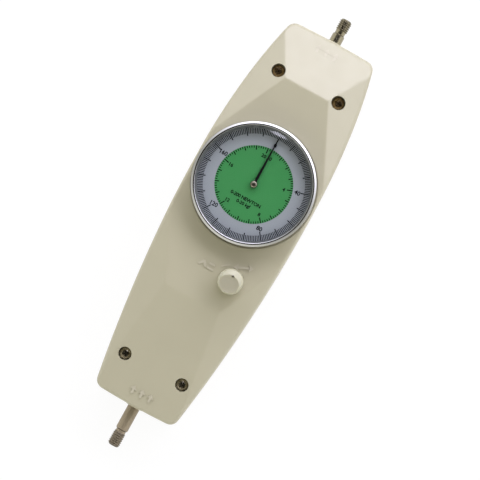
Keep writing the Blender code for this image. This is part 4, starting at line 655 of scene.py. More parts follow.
openings = rod_holes()
for name, place in zip(screw_names, screw_places):
    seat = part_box(name)[1].z - HEAD_HEIGHT - SHANK_CLEARANCE
    well = WELL_RADII[1 if place[1] > 0 else -1]
    profile = [(0, seam_under), (shank_hole, seam_under), (shank_hole, seat), (well, seat)]
    lathe(openings, profile + [(well, above), (0, above)], 48, "Z", place)
roof = FRONT_Z - WALL - CLEAR
columns(openings, DIAL_OPENING_RADIUS, roof, above, [DIAL_CENTRE], 64)
columns(openings, SPINDLE_HOLE_RADIUS, roof, above, [KNOB_CENTRE], 32)
columns(openings, CASE_SCREW_HOLE_RADIUS, roof, above, case_screw_places, 24)
profile = [(radius, FRONT_Z - GROOVE_DEPTH) for radius in GROOVE_RADII]
profile += [(radius, above) for radius in reversed(GROOVE_RADII)]
lathe(openings, profile, 192, "Z", DIAL_CENTRE, True)
carve(front_shell, openings)

chassis_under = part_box("chassis")[0].z
posts = columns(bmesh.new(), POST_RADIUS, 0, rear_high.z + 2 * CLEAR, screw_places, 32)
columns(posts, BOSS_RADIUS, 0, chassis_under - BOSS_GAP, boss_places, 32)
hollow = inner_prism(WALL, rear_high.z + CLEAR)
carve(rear_shell, taken_back(carve(loose("rear_hollow", hollow), posts)))
carve(rear_shell, half_collars(-1), "UNION")
openings = rod_holes()
for name, place in zip(screw_names, screw_places):
    columns(openings, shank_hole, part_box(name)[0].z - CLEAR, rear_high.z + CLEAR, [place], 24)
columns(openings, BOSS_BORE_RADIUS, WALL, chassis_under + CLEAR, boss_places, 24)
carve(rear_shell, openings)
print("front shell:", len(front_shell.data.polygons), "faces; rear shell:", len(rear_shell.data.polygons))

# %% [markdown]
# ## Raised marks
#
# The mould leaves low raised marks: one at each end for the direction of the force and two by the knob
# for its settings. Words would tie the part to a maker, so plain pictures stand in: arrows that point
# out of the pull end and into the push end, a peak with two bars for holding the highest force, and a
# double arrow for following it. Their sides slope, so that the mould lets go of them, and it is this
# slope that catches the light.

# %% Add the raised marks
MARK_SINK = 0.5 * MM
MARK_DRAFT = 0.35 * MM
MARK_RISE = 0.35 * MM
LOW_RISE = 0.1 * MM
ARROW_SPACING = 4.5
DOUBLE_ARROW = (14.4, -11.4)
DOUBLE_ARROW_TILT = 23
ARROW = ((-0.6, -2.1), (0.6, -2.1), (0.6, 0.1), (1.8, -0.25), (0, 2.1), (-1.8, -0.25), (-0.6, 0.1))
PEAK = ((-2.3, -1.4), (-1.2, -1.4), (0.0, 0.2), (1.2, -1.4), (2.3, -1.4), (0.5, 1.5), (-0.5, 1.5))
ARROW_HEAD = ((-1.8, -0.9), (1.8, -0.9), (0, 1.3))


def bar(length, thickness):
    """Outline of a bar along x."""
    x, y = length / 2, thickness / 2
    return ((-x, -y), (x, -y), (x, y), (-x, y))


def placed(outline, centre, degrees=0.0):
    """An outline in millimetres, turned and moved to its place."""
    turn = Matrix.Rotation(math.radians(degrees), 2)
    return [tuple((turn @ Vector(point) + Vector(centre)) * MM) for point in outline]


def raised(shape, outline, rise=MARK_RISE):
    """Adds a low mark on the front's surface, with sides that slope as a mould needs."""
    face = shape.faces.new([shape.verts.new((x, y, 0)) for x, y in outline])
    rim = [loop.vert for loop in face.loops]
    bmesh.ops.inset_individual(shape, faces=[face], thickness=MARK_DRAFT, use_even_offset=True)
    foot = [shape.verts.new((vert.co.x, vert.co.y, 0)) for vert in rim]
    for verts, lift in ((face.verts, rise), (rim, 0.0), (foot, -MARK_SINK)):
        for vert in verts:
            vert.co.z = front_height(vert.co.x, vert.co.y) + lift
    stitch(shape, [foot, rim])
    shape.faces.new(foot)


marks = bmesh.new()
for middle, y, rise in ((-0.4, 95.4, LOW_RISE), (0.7, -86.0, MARK_RISE)):
    for number in (-1, 0, 1):
        raised(marks, placed(ARROW, (number * ARROW_SPACING + middle, y)), rise)
raised(marks, placed(PEAK, (-3.2, -18.2)))
raised(marks, placed(bar(3.0, 0.9), (0.9, -16.9)))
raised(marks, placed(bar(3.0, 0.9), (0.9, -19.2)))
raised(marks, placed(bar(4.2, 0.8), (6.6, -14.2), 38))
raised(marks, placed(bar(5.4, 1.1), DOUBLE_ARROW, DOUBLE_ARROW_TILT))
for way in (-1, 1):
    tip = Matrix.Rotation(math.radians(DOUBLE_ARROW_TILT), 2) @ Vector((way * 3.4, 0))
    raised(marks, placed(ARROW_HEAD, Vector(DOUBLE_ARROW) + tip, DOUBLE_ARROW_TILT - 90 * way))
# The marks take the paler copy of the ivory: a painted highlight.
fit(loose("raised_marks", marks), relief_painted_light, "ivory_abs", "housing")
fit(front_shell, ivory, "ivory_abs", "housing", "front_cover")
fit(rear_shell, ivory, "ivory_abs", "housing", "rear_cover")

# %% [markdown]
# ## The cover screws
#
# The screws are pan heads with a cross recess, deep in their wells. A turned profile gives the crown,
# and a cross that narrows with depth is cut from it. Each has an angle of its own, as a hand leaves it.

# %% Turn the cover screws
HEAD_RADIUS = 2.9 * MM
CROWN_FLAT = 0.12
CROWN_SHARE = 0.55
CROWN_STEPS = 8
CROSS_LENGTH = 4.3 * MM
CROSS_WIDTH = 0.8 * MM
CROSS_DEPTH = 1.0 * MM
CROSS_FOOT_SHARES = (0.5, 0.8)
CROSS_OVERRUN = 0.1 * MM
TURNS = (5, -8, 31, 62)


def cross_cutter(centre, crown, degrees):
    """A cross whose arms narrow with depth."""
    shape = bmesh.new()
    turn = Matrix.Rotation(math.radians(degrees), 2)
    rings = []
    for shares, height in ((CROSS_FOOT_SHARES, crown - CROSS_DEPTH), ((1, 1), crown + CROSS_OVERRUN)):
        long, wide = CROSS_LENGTH / 2 * shares[0], CROSS_WIDTH / 2 * shares[1]
        plus = [(long, wide), (wide, wide), (wide, long), (-wide, long), (-wide, wide), (-long, wide)]
        plus += [(-x, -y) for x, y in plus]
        spots = [turn @ Vector(spot) + Vector(centre) for spot in plus]
        rings.append([shape.verts.new((spot.x, spot.y, height)) for spot in spots])
    return stitch(shape, rings, capped=True)


for number, (name, place) in enumerate(zip(screw_names, screw_places), 1):
    low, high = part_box(name)
    seat = high.z - HEAD_HEIGHT
    profile = [(0, low.z), (SHANK_RADIUS, low.z), (SHANK_RADIUS, seat), (HEAD_RADIUS, seat)]
    for step in range(CROWN_STEPS + 1):
        angle = math.pi / 2 * step / CROWN_STEPS
        drop = HEAD_HEIGHT * CROWN_SHARE * (1 - math.sin(angle))
        radius = HEAD_RADIUS * (CROWN_FLAT + (1 - CROWN_FLAT) * math.cos(angle))
        profile.append((radius, high.z - drop))
    profile.append((0, high.z))
    screw = loose(f"well_screw_{number}", lathe(bmesh.new(), profile, 48, "Z", place))
    carve(screw, cross_cutter(place, high.z, TURNS[number - 1]))
    fit(screw, screw_bronze if place[1] > 0 else screw_zinc, "bronze_screw", "housing", name)

# %% [markdown]
# ## The bezel and what lies under the glass
#
# The bezel is a chromed ring with an undercut foot. Its wall leans in a little, a slope leads up from
# the rounded edge to a narrow crest, and a second slope falls to the lip that holds the glass. Behind
# it stands a grey spacer ring that keeps the glass off the dial, with its inner edge broken so that it
# frames the scale. All of these are turned shapes, so each is one profile. Turning the bezel turns the
# dial with it, which is how the gauge is set to zero.

# %% Turn the bezel, spacer ring and dial plate
ROUND = 256
LIP_RADIUS = 27.05 * MM
CASE_HOOK_RADIUS = 26.5 * MM
RUNNING_GAP = 0.3 * MM
HOOK_DROP = 1.2 * MM
WALL_LEAN = 0.2 * MM
UNDERCUT = 0.4 * MM
EDGE_ROUND = 0.2 * MM
SLOPE_WIDTH = 1.0 * MM
SLOPE_FALL = 0.42 * MM
CREST_ROUND = 0.12 * MM
CREST_FLAT = 0.4 * MM
OUTER_SLOPE_ANGLE = 66
INNER_SLOPE_ANGLE = 112
LEDGE_DROP = 0.1 * MM
RING_WIDTH = 1.3 * MM
RING_SLOPE = 0.95 * MM
ARBOR_HOLE_RADIUS = 1.5 * MM
HOLE_BREAK = 0.1 * MM


def rounded_corner(centre_radius, centre_height, radius, start, end, steps):
    """Profile points round an arc, for angles measured from straight outward."""
    points = []
    for step in range(steps + 1):
        angle = math.radians(start + (end - start) * step / steps)
        points.append((centre_radius + radius * math.cos(angle), centre_height + radius * math.sin(angle)))
    return points


def turned(name, profile):
    """A ring round the dial's centre, from a closed profile."""
    return loose(name, lathe(bmesh.new(), profile, ROUND, "Z", DIAL_CENTRE, True))


glass_low, glass_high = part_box("crystal")
window_radius = (glass_high.x - glass_low.x) / 2
bore = window_radius + RUNNING_GAP
lip_low = glass_high.z + RUNNING_GAP
hook_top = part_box("dial_case")[1].z - HOOK_DROP
bezel_radius = (bezel_high.x - bezel_low.x) / 2
foot, top = bezel_low.z, bezel_high.z
edge = bezel_radius - WALL_LEAN
crest, crest_z = edge - SLOPE_WIDTH, top - CREST_ROUND
profile = [(CASE_HOOK_RADIUS, foot), (bezel_radius - UNDERCUT, foot)]
profile += [(bezel_radius - UNDERCUT, foot + UNDERCUT), (bezel_radius, foot + 2 * UNDERCUT)]
edge_z = top - SLOPE_FALL - EDGE_ROUND
profile += rounded_corner(edge - EDGE_ROUND, edge_z, EDGE_ROUND, 0, OUTER_SLOPE_ANGLE, 6)
profile += rounded_corner(crest, crest_z, CREST_ROUND, OUTER_SLOPE_ANGLE, 90, 3)
profile += rounded_corner(crest - CREST_FLAT, crest_z, CREST_ROUND, 90, INNER_SLOPE_ANGLE, 3)
lip_corner = (LIP_RADIUS + CREST_ROUND, crest_z - LEDGE_DROP)
profile += rounded_corner(*lip_corner, CREST_ROUND, INNER_SLOPE_ANGLE, 180, 5)
profile += [(LIP_RADIUS, lip_low), (bore, lip_low), (bore, hook_top), (CASE_HOOK_RADIUS, hook_top)]
fit(turned("bezel_rim", profile), chrome, "chrome", "bezel_group", "bezel", angle=40)

low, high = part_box("dial_ring")
outer = (high.x - low.x) / 2
inner = outer - RING_WIDTH
profile = [(inner, low.z), (outer, low.z), (outer, high.z)]
profile += [(inner + RING_SLOPE, high.z), (inner, high.z - RING_SLOPE)]
fit(turned("spacer_ring", profile), grey_satin, "black_paint", "bezel_group", "dial_ring")

low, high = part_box("dial_plate")
outer, face_z = (high.x - low.x) / 2, high.z
profile = [(ARBOR_HOLE_RADIUS, low.z), (outer, low.z), (outer, face_z)]
profile += [(ARBOR_HOLE_RADIUS + HOLE_BREAK, face_z), (ARBOR_HOLE_RADIUS, face_z - HOLE_BREAK)]
fit(turned("dial_face", profile), dial_grey, "dial_print", "bezel_group", "dial_plate")
print(f"bezel {2 * bezel_radius / MM:.1f} mm across, glass {2 * window_radius / MM:.1f} mm")

# %% [markdown]
# ## The printed dial
#
# A pale grey face carries the outer scale: 200 divisions all the way round, numbered every 40. A green
# disc carries a second scale that ends just short of a full turn. Ink has a thickness, so each mark
# is a very low prism on the face. That keeps the edges sharp in any view and needs no image.

# %% Print the scales
INK = 0.02 * MM
STROKE_GAIN = 0.08 * MM
CAPITAL_SHARE = 0.7
GREEN_RADIUS = 18.15 * MM
GREEN_HOLE_RADIUS = 1.6 * MM
NEWTON_COUNT = 200
NEWTON_OUTER = 26.1
NEWTON_TICKS = {40: (21.9, 0.5), 10: (22.6, 0.5), 1: (23.5, 0.36)}
NEWTON_FIGURE = (1.95, 20.4)
KGF_TURN = 17.652
KGF_COUNT = 102
KGF_OUTER = 18.1
KGF_TICKS = {20: (15.4, 0.5), 5: (16.1, 0.48), 1: (17.0, 0.4)}
KGF_FIGURE = (1.6, 14.0)
KGF_NUDGES = {0: 4.5, 20: -2.5}
WORDS = {"0-200 NEWTON": (1.6, 7.6, 0.94), "0-20 kgf": (1.5, 10.0, 1.0)}


def on_dial(degrees, x, y):
    """A point in millimetres from the dial's centre, turned clockwise."""
    turn = Matrix.Rotation(-math.radians(degrees), 2)
    return turn @ Vector((x, y)) * MM + Vector(DIAL_CENTRE)


def ticks(shape, count, step, kinds, outer, low):
    """Adds rays clockwise from the top. Kinds gives, for every so many rays, inner radius and width."""
    for number in range(count):
        inner, width = next(kind for every, kind in kinds.items() if number % every == 0)
        half = width / 2
        corners = ((-half, inner), (half, inner), (half, outer), (-half, outer))
        prism(shape, [on_dial(number * step, *corner) for corner in corners], low, low + INK)


def print_words(shape, words, degrees, low, height, radius, spacing=1.0):
    """Adds low raised characters, centred at an angle clockwise from the top."""
    curve = bpy.data.curves.new(words, "FONT")
    curve.body = words
    curve.size = height * MM / CAPITAL_SHARE
    curve.space_character = spacing
    curve.align_x = "CENTER"
    curve.extrude = INK / 2
    curve.offset = STROKE_GAIN
    curve.resolution_u = 3
    holder = put(words, curve)
    mesh = final_mesh(holder)
    x, y = on_dial(degrees, 0, radius)
    mesh.transform(Matrix.Translation((x, y - height * MM / 2, low + INK / 2)))
    shape.from_mesh(mesh)
    bpy.data.objects.remove(holder)
    bpy.data.meshes.remove(mesh)


disc = loose("green_disc", drum(bmesh.new(), GREEN_RADIUS, face_z, face_z + INK, 192, "Z", DIAL_CENTRE))
carve(disc, drum(bmesh.new(), GREEN_HOLE_RADIUS, face_z - MM, face_z + MM, 48, "Z", DIAL_CENTRE))
fit(disc, dial_green, "dial_print", "bezel_group")

newton_marks = bmesh.new()
ticks(newton_marks, NEWTON_COUNT, 360 / NEWTON_COUNT, NEWTON_TICKS, NEWTON_OUTER, face_z)
for value in range(0, NEWTON_COUNT, 40):
    print_words(newton_marks, str(value), 360 * value / NEWTON_COUNT, face_z, *NEWTON_FIGURE)
fit(loose("newton_scale", newton_marks), print_black, "black_paint", "bezel_group")

kgf_marks = bmesh.new()
green_z = face_z + INK
ticks(kgf_marks, KGF_COUNT, KGF_TURN / 5, KGF_TICKS, KGF_OUTER, green_z)
for value in range(0, 24, 4):
    print_words(kgf_marks, str(value), value * KGF_TURN + KGF_NUDGES.get(value, 0), green_z, *KGF_FIGURE)
for words, looks in WORDS.items():
    print_words(kgf_marks, words, 180, green_z, *looks)
fit(loose("kgf_scale", kgf_marks), print_black, "black_paint", "bezel_group")

# %% [markdown]
# ## The glass
#
# The window is a pane that is almost flat and rounds down toward its rim. A pane this thin hardly bends
# what is seen through it, but it does reflect. So the shader is a clear one with a gloss mixed in by
# the angle at which the pane is seen: straight on it is all clear, and at a shallow angle it shines.
# The rounded rim has a little shine of its own from any angle.

# %% Cut the window
DOME = 0.75 * MM
DOME_POWER = 7
DOME_STEPS = 24
RIM_GAP = 0.2 * MM
GLASS_SHINE = 0.45
SHINE_POWER = 5.0
RIM_SHINE = 0.05
RIM_TILT = (0.993, 0.999)
SMEAR_SIZE = 9 * MM
clear_glass = bpy.data.materials.new("window_glass")
clear_glass.use_nodes = True
tree = clear_glass.node_tree
place = add_node(tree, "TexCoord").outputs
smear = spread(tree, noise(tree, place["Object"], SMEAR_SIZE), 0.02, 0.06)
gloss = tree.nodes["Principled BSDF"]
feed(tree, gloss, {"Base Color": (0.97, 0.98, 0.98, 1.0), "Metallic": 1.0, "Roughness": smear})
through = add_node(tree, "BsdfTransparent", {"Color": (0.975, 0.98, 0.98, 1.0)})
facing = add_node(tree, "LayerWeight", {"Blend": 0.5}).outputs["Facing"]
upright = add_node(tree, "SeparateXYZ", {"Vector": place["Normal"]}).outputs["Z"]
rim_shine = spread(tree, upright, RIM_SHINE, 0.0, RIM_TILT)
shine = reckon(tree, "MULTIPLY_ADD", reckon(tree, "POWER", facing, SHINE_POWER), GLASS_SHINE, rim_shine)
mixed = add_node(tree, "MixShader", {"Fac": shine, 1: through.outputs["BSDF"], 2: gloss.outputs["BSDF"]})
feed(tree, tree.nodes["Material Output"], {"Surface": mixed.outputs["Shader"]})

profile = [(0, glass_low.z), (window_radius, glass_low.z), (window_radius, glass_high.z)]
for step in range(DOME_STEPS + 1):
    radius = (LIP_RADIUS - RIM_GAP) * (1 - (step / DOME_STEPS) ** 2)
    profile.append((radius, glass_high.z + DOME * (1 - (radius / LIP_RADIUS) ** DOME_POWER)))
window = loose("window", lathe(bmesh.new(), profile, 128, "Z", DIAL_CENTRE))
fit(window, clear_glass, "glass", "bezel_group", "crystal")

# %% [markdown]
# ## The hand and its cap
#
# The hand is a thin black taper with a ring round the arbor. A nickel cap covers the ring. Its crown is
# a quarter ellipse turned round the axis, so some part of it always mirrors the lamp.

# %% Make the hand
HAND_RING = 1.7 * MM
HAND_ROOT = 0.64 * MM
HAND_TIP = 0.26 * MM
RING_STEPS = 32
ARBOR_RADIUS = 1.0 * MM
HAND_EDGE = 0.06 * MM
CAP_WALL = 0.3 * MM
CAP_STEPS = 8
low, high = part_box("pointer")
centre_y = DIAL_CENTRE[1]
start = math.acos(HAND_ROOT / HAND_RING)
outline = []
for step in range(RING_STEPS + 1):
    angle = math.pi - start + (math.pi + 2 * start) * step / RING_STEPS
    outline.append((HAND_RING * math.cos(angle), centre_y + HAND_RING * math.sin(angle)))
outline += [(HAND_TIP, high.y - 2 * HAND_TIP), (0, high.y), (-HAND_TIP, high.y - 2 * HAND_TIP)]
hand = loose("hand", prism(bmesh.new(), outline, low.z, high.z))
carve(hand, drum(bmesh.new(), ARBOR_RADIUS, low.z - MM, high.z + MM, 32, "Z", DIAL_CENTRE))
edge = hand.modifiers.new("edge", "BEVEL")
edge.width = HAND_EDGE
edge.segments = 2
fit(hand, black_satin, "black_paint", "pointer", "pointer")

low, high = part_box("pointer_hub")
cap_radius = (high.x - low.x) / 2
rim_z = low.z + CAP_WALL
profile = [(0, low.z), (cap_radius, low.z), (cap_radius, rim_z)]
for step in range(1, CAP_STEPS):
    angle = math.pi / 2 * step / CAP_STEPS
    profile.append((cap_radius * math.cos(angle), rim_z + (high.z - rim_z) * math.sin(angle)))
profile.append((0, high.z))
cap = loose("hand_cap", lathe(bmesh.new(), profile, 64, "Z", DIAL_CENTRE))
fit(cap, hub_silver, "chrome", "pointer", "pointer_hub", angle=50)

# %% [markdown]
# ## The selector knob
#
# The knob is a short tapered barrel of milky plastic. Its top is an oval flat that lies toward the push
# end, so the shoulder is a broad slope on the pull side and a narrow one elsewhere. The slope and a
# small dark hole at its brink show which way the knob points. The rings below run from the bore, round
# the foot and up the barrel, then shrink from a circle into the oval.

# %% Shape the knob
KNOB_SPOKES = 96
KNOB_BORE_RADIUS = 2.1 * MM
KNOB_FOOT_BREAK = (0.2 * MM, 0.3 * MM)
BARREL_TOP_RADIUS = 5.85 * MM
BARREL_EDGE = ((-0.03, 1.2), (0.0, 0.6), (0.06, 0.3), (0.15, 0.12))
SLOPE = 0.52
BROW = 0.25 * MM
BROW_STEPS = 10
OVAL = (4.75 * MM, 4.1 * MM)
OVAL_SHIFT = 1.3 * MM
DISH_DEPTH = 0.18 * MM
DISH_SHARES = (0.95, 0.88, 0.75, 0.5, 0.2)
DISH_RIM_SHARE = 0.25
INDEX_HOLE_RADIUS = 0.55 * MM
INDEX_HOLE_DEPTH = 1.3 * MM
INDEX_HOLE_SHIFT = 2.7 * MM
knob_radius = (knob_high.x - knob_low.x) / 2
knob_top = knob_high.z
bore_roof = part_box("selector_spindle")[1].z + RUNNING_GAP
shape = bmesh.new()
rings = []


def knob_ring(radius_x, radius_y, height, shift=0.0, slope=0.0):
    """Adds one ring of the knob. With a slope it sinks by its distance from the oval."""
    ring = []
    for spoke in range(KNOB_SPOKES):
        angle = 2 * math.pi * spoke / KNOB_SPOKES
        x, y = radius_x * math.cos(angle), radius_y * math.sin(angle) - shift
        brink = Vector((OVAL[0] * math.cos(angle), OVAL[1] * math.sin(angle) - OVAL_SHIFT))
        sink = slope * (Vector((x, y)) - brink).length
        ring.append(shape.verts.new((KNOB_CENTRE[0] + x, KNOB_CENTRE[1] + y, height - sink)))
    rings.append(ring)


for radius, height in (
    (KNOB_BORE_RADIUS, bore_roof),
    (KNOB_BORE_RADIUS, knob_low.z),
    (knob_radius - KNOB_FOOT_BREAK[0], knob_low.z),
    (knob_radius, knob_low.z + KNOB_FOOT_BREAK[1]),
):
    knob_ring(radius, radius, height)
for draw, drop in BARREL_EDGE:
    radius = BARREL_TOP_RADIUS - draw * MM
    knob_ring(radius, radius, knob_top - drop * MM - BROW, 0.0, SLOPE)
for step in range(1, BROW_STEPS + 1):
    share = step / BROW_STEPS
    size = [BARREL_TOP_RADIUS + (oval - BARREL_TOP_RADIUS) * share for oval in OVAL]
    knob_ring(*size, knob_top - BROW * (1 - share) ** 2, OVAL_SHIFT * share, SLOPE)
for share in DISH_SHARES:
    sink = DISH_DEPTH * min(1.0, (1 - share) / DISH_RIM_SHARE)
    knob_ring(OVAL[0] * share, OVAL[1] * share, knob_top - sink, OVAL_SHIFT)
knob = loose("knob", stitch(shape, rings, capped=True))
spot = (KNOB_CENTRE[0], KNOB_CENTRE[1] + INDEX_HOLE_SHIFT)
hole_floor = knob_top - INDEX_HOLE_DEPTH
carve(knob, drum(bmesh.new(), INDEX_HOLE_RADIUS, hole_floor, knob_top + MM, 24, "Z", spot))
fit(knob, milky, "frosted_plastic", "selector", "selector_knob", angle=40)

# %% [markdown]
# ## The ends of the rod
#
# Both ends of the rod carry an M6 thread for hooks and adapters. A thread is a ridge that climbs as
# it goes round. Here each ring of points is moved in or out by a flat-topped wave of its height less
# its angle, so the crest becomes a real helix. The ridge grows out of the neck over a short run-in, and
# the chamfer at the tip cuts it off.

# %% Thread the rod ends
THREAD_PITCH = 1.0 * MM
THREAD_DEPTH = 0.45 * MM
CREST_RADIUS = 3.0 * MM
CREST_WIDTH = 1.25
FLANK_STEEPNESS = 1.6
RUN_IN = 0.7 * THREAD_PITCH
NECK_RADIUS = 2.45 * MM
TIP_CHAMFER = 0.9 * MM
CHAMFER_SLOPE = 0.9
SHOULDER = 0.4 * MM
ROD_RADIUS = 3.0 * MM
SPIGOT_RADIUS = 2.0 * MM
SPIGOT_LENGTH = 8.0 * MM
ROD_SPOKES = 72
RINGS_PER_PITCH = 14
PULL_THREAD = (5.2 * MM, 1.6 * MM)
PUSH_THREAD = (6.4 * MM, 1.1 * MM)


def threaded_end(name, node, way, thread, neck_length, steel):
    """One end of the rod, from its thread's and its neck's length. Way is 1 toward the pull end."""
    low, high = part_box(node)
    tip, root_end = (high.y, low.y) if way > 0 else (low.y, high.y)
    inner = root_end + way * SPIGOT_LENGTH
    start = tip - way * (TIP_CHAMFER + thread)
    neck = start - way * neck_length
    root = CREST_RADIUS - THREAD_DEPTH
    axis = (0, ROD_Z)
    plain = (
        (root_end, SPIGOT_RADIUS),
        (inner, SPIGOT_RADIUS),
        (inner, ROD_RADIUS),
        (neck - way * SHOULDER, ROD_RADIUS),
        (neck, ROD_RADIUS - SHOULDER),
        (neck + way * SHOULDER / 4, NECK_RADIUS),
    )
    shape = bmesh.new()
    rings = [spokes(shape, [radius] * ROD_SPOKES, y, "Y", axis) for y, radius in plain]
    length = thread + TIP_CHAMFER
    count = round(length / THREAD_PITCH * RINGS_PER_PITCH)
    for number in range(count + 1):
        along = length * number / count
        y = start + way * along
        limit = CREST_RADIUS - max(0.0, along - thread) * CHAMFER_SLOPE
        fade = min(1.0, along / RUN_IN)
        base = NECK_RADIUS + (root - NECK_RADIUS) * fade
        radii = []
        for spoke in range(ROD_SPOKES):
            phase = (y / THREAD_PITCH - spoke / ROD_SPOKES) % 1.0
            ridge = min(1.0, max(0.0, CREST_WIDTH - abs(2 * phase - 1) * FLANK_STEEPNESS))
            radii.append(min(base + THREAD_DEPTH * ridge * fade, limit))
        rings.append(spokes(shape, radii, y, "Y", axis))
    fit(loose(name, stitch(shape, rings, capped=True)), steel, "ground_steel", "rod", node, angle=35)


threaded_end("pull_end", "pull_rod", 1, *PULL_THREAD, rod_steel)
threaded_end("push_end", "push_rod", -1, *PUSH_THREAD, brushed_steel)

# %% [markdown]
# ## The main spring
#
# A helical spring round the push rod carries the measured force. Its first and last turns are wound
# close, so that it stands square. Round wire is easiest as a curve with a round section, which then
# becomes a mesh. A fixed mesh would run into the collar as the rod comes out, and here the spring is
# such a fixed mesh, carried by the housing.

# %% Wind the main spring
SPRING_TURNS = 9
WIRE_RADIUS = 1.1 * MM
CLOSE_PITCH = 2.7 * MM
POINTS_PER_TURN = 24
low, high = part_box("main_spring")
coil_radius = (high.x - low.x) / 2 - WIRE_RADIUS
coil_length = high.y - low.y
open_rise = (coil_length - 2 * WIRE_RADIUS - 2 * CLOSE_PITCH) / (SPRING_TURNS - 2)
wire = bpy.data.curves.new("wire", "CURVE")
wire.dimensions = "3D"
wire.bevel_depth = WIRE_RADIUS
wire.bevel_resolution = 3
wire.use_fill_caps = True
route = wire.splines.new("POLY")
route.points.add(SPRING_TURNS * POINTS_PER_TURN)
for number, point in enumerate(route.points):
    wound = number / POINTS_PER_TURN
    opened = min(max(wound - 1, 0), SPRING_TURNS - 2)
    y = low.y + WIRE_RADIUS + CLOSE_PITCH * (wound - opened) + open_rise * opened
    angle = 2 * math.pi * wound
    point.co = (coil_radius * math.cos(angle), y, ROD_Z + coil_radius * math.sin(angle), 1)
holder = put("wire", wire)
coil = put("main_coil", final_mesh(holder))
bpy.data.objects.remove(holder)
fit(coil, inner_finishes["spring_steel"], "spring_steel", "housing", "main_spring")
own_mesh(coil)

# %% [markdown]
# ## The table
#
# The photograph shows the gauge on pure white. The floor is white where the camera, a mirror or the
# glass sees it, and an ordinary pale floor for the light that bounces from it. A small part of what
# the camera sees stays diffuse, so the object keeps a faint shadow.

# %% Lay the floor
FLOOR_SIZE = 6.0
FLOOR_GAP = 0.02 * MM
GLOW_SHARE = 0.86
GLOW = 1.05
floor_shape = bmesh.new()
bmesh.ops.create_grid(floor_shape, x_segments=24, y_segments=24, size=FLOOR_SIZE / 2)
floor = loose("floor", floor_shape)
floor.location.z = -FLOOR_GAP
floor_paint = bpy.data.materials.new("floor_paper")
floor_paint.use_nodes = True
tree = floor_paint.node_tree
tree.nodes.remove(tree.nodes["Principled BSDF"])
path = add_node(tree, "LightPath").outputs
seen = reckon(tree, "MAXIMUM", path["Is Camera Ray"], path["Is Glossy Ray"])
seen = reckon(tree, "MAXIMUM", seen, path["Is Transmission Ray"])
share = reckon(tree, "MULTIPLY", seen, GLOW_SHARE)
paper = add_node(tree, "BsdfDiffuse", {"Color": (0.86, 0.86, 0.86, 1.0)})
glow = add_node(tree, "Emission", {"Strength": GLOW})
mixed = add_node(tree, "MixShader", {"Fac": share, 1: paper.outputs["BSDF"], 2: glow.outputs["Emission"]})
feed(tree, tree.nodes["Material Output"], {"Surface": mixed.outputs["Shader"]})
floor.data.materials.append(floor_paint)

# %% [markdown]
# ## Light
#
# The gauge was lit in a white tent with an opening overhead for the camera. That shows in the picture:
# flat faces that look straight up mirror the dark opening and keep their plain colour, while slopes
# mirror the tent and go pale. The plane that faces the pull end is by far the palest, so the main
# lamp shines through the tent from there, a few degrees off the rod's line and slightly blue. A weaker
# one shines from the push end, and the canvas between them is slightly yellow. A small light close to
# the lens shows only as a pale patch on the rounded rim of the glass. The tent is written as a colour
# for each direction, so that it surrounds the object without an edge, and it turns plain white toward
# the horizon, where a low view sees it behind the floor.

# %% Light the tent
OPENING = 0.02
TENT = 0.88
PULL_LAMP = 4.85
PUSH_LAMP = 0.65
LENS_LAMP = 7.0
LAMP_TURN = math.radians(5)
LAMP_TINT = (0.985, 0.97, 1.14)
CANVAS_TINT = (1.01, 1.0, 0.89)
TENT_TOP = (0.78, 0.62)
TENT_FOOT = (0.3, 0.14)
PULL_BOTTOM = (0.2, 0.4)
PUSH_TOP = (0.95, 0.80)
LOBE_POWER = 2.0
LENS_LAMP_HEADING = (-0.055, 0.33, 0.94)
LENS_LAMP_EDGE = (0.9982, 0.9998)
LEAST = 1e-6
world = bpy.data.worlds.new("light_tent")
bpy.context.scene.world = world
world.use_nodes = True
tree = world.node_tree


def times(first, second):
    """The product of two sockets or numbers."""
    return reckon(tree, "MULTIPLY", first, second)


def plus(first, second):
    """The sum of two sockets or numbers."""
    return reckon(tree, "ADD", first, second)


def fade_in(value, limits):
    """Rises smoothly from 0 at the first limit to 1 at the second."""
    return spread(tree, value, 0.0, 1.0, limits, interpolation_type="SMOOTHSTEP")


def lobe(way):
    """1 in one direction along the rod, and fading to 0 at right angles to it."""
    return reckon(tree, "POWER", reckon(tree, "MAXIMUM", times(heading, way), 0.0), LOBE_POWER)


def tinted(value, tint):
    """A tint at the brightness of a value."""
    return add_node(tree, "VectorMath", {0: tint, "Scale": value}, operation="SCALE").outputs["Vector"]


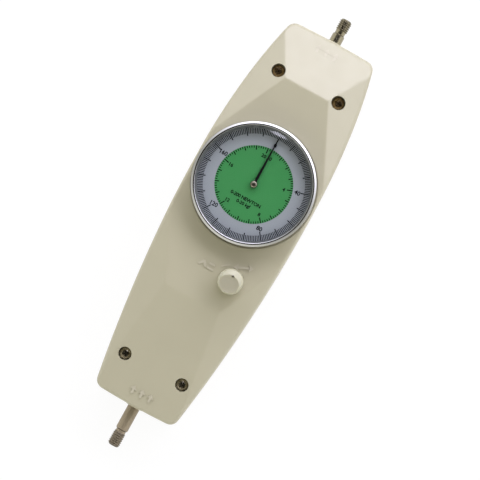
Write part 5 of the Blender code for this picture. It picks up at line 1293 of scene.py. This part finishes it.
direction = add_node(tree, "TexCoord").outputs["Generated"]
across, along, upward = add_node(tree, "SeparateXYZ", {"Vector": direction}).outputs
level_part = plus(times(across, across), times(along, along))
ahead = plus(times(along, math.cos(LAMP_TURN)), times(across, math.sin(LAMP_TURN)))
heading = reckon(tree, "DIVIDE", ahead, reckon(tree, "SQRT", plus(level_part, LEAST)))
below_top = fade_in(upward, TENT_TOP)
lamp = times(times(times(lobe(1.0), fade_in(upward, PULL_BOTTOM)), PULL_LAMP), below_top)
fill = times(times(lobe(-1.0), PUSH_LAMP), fade_in(upward, PUSH_TOP))
lens_heading = Vector(LENS_LAMP_HEADING).normalized()
toward_lens = add_node(tree, "VectorMath", {0: direction, 1: lens_heading}, operation="DOT_PRODUCT")
spot = times(fade_in(toward_lens.outputs["Value"], LENS_LAMP_EDGE), LENS_LAMP)
lamp_light = tinted(plus(lamp, spot), LAMP_TINT)
canvas_light = tinted(plus(plus(times(below_top, TENT), fill), OPENING), CANVAS_TINT)
tent_light = add_node(tree, "VectorMath", {0: lamp_light, 1: canvas_light}).outputs["Vector"]
backdrop = blend_colours(tree, fade_in(upward, TENT_FOOT), tent_light, (1.0, 1.0, 1.0))
feed(tree, tree.nodes["Background"], {"Color": backdrop})
print("tent brightness toward the pull end:", TENT + PULL_LAMP + OPENING)

# %% [markdown]
# ## The camera
#
# The place, turn and field of view were worked out from points that are easy to find in the photograph,
# such as the bezel, the screws and the tips of the rod. The camera stands 0.8 m above the table and looks
# almost straight down. The gauge lies aslant in the picture because the camera is rolled.

# %% Place the camera
CAMERA_PLACE = (0.0361969, -0.0060203, 0.8180311)
CAMERA_TURN = (1.38388, 1.72429, 28.87958)
FIELD_OF_VIEW = 16.20987
NEAREST = 0.01
camera_data = bpy.data.cameras.new("camera")
camera_data.sensor_fit = "HORIZONTAL"
camera_data.angle = math.radians(FIELD_OF_VIEW)
camera_data.clip_start = NEAREST
camera = put("camera", camera_data)
camera.location = CAMERA_PLACE
camera.rotation_euler = Euler([math.radians(angle) for angle in CAMERA_TURN])
bpy.context.scene.camera = camera
bpy.context.scene.view_settings.view_transform = "Standard"
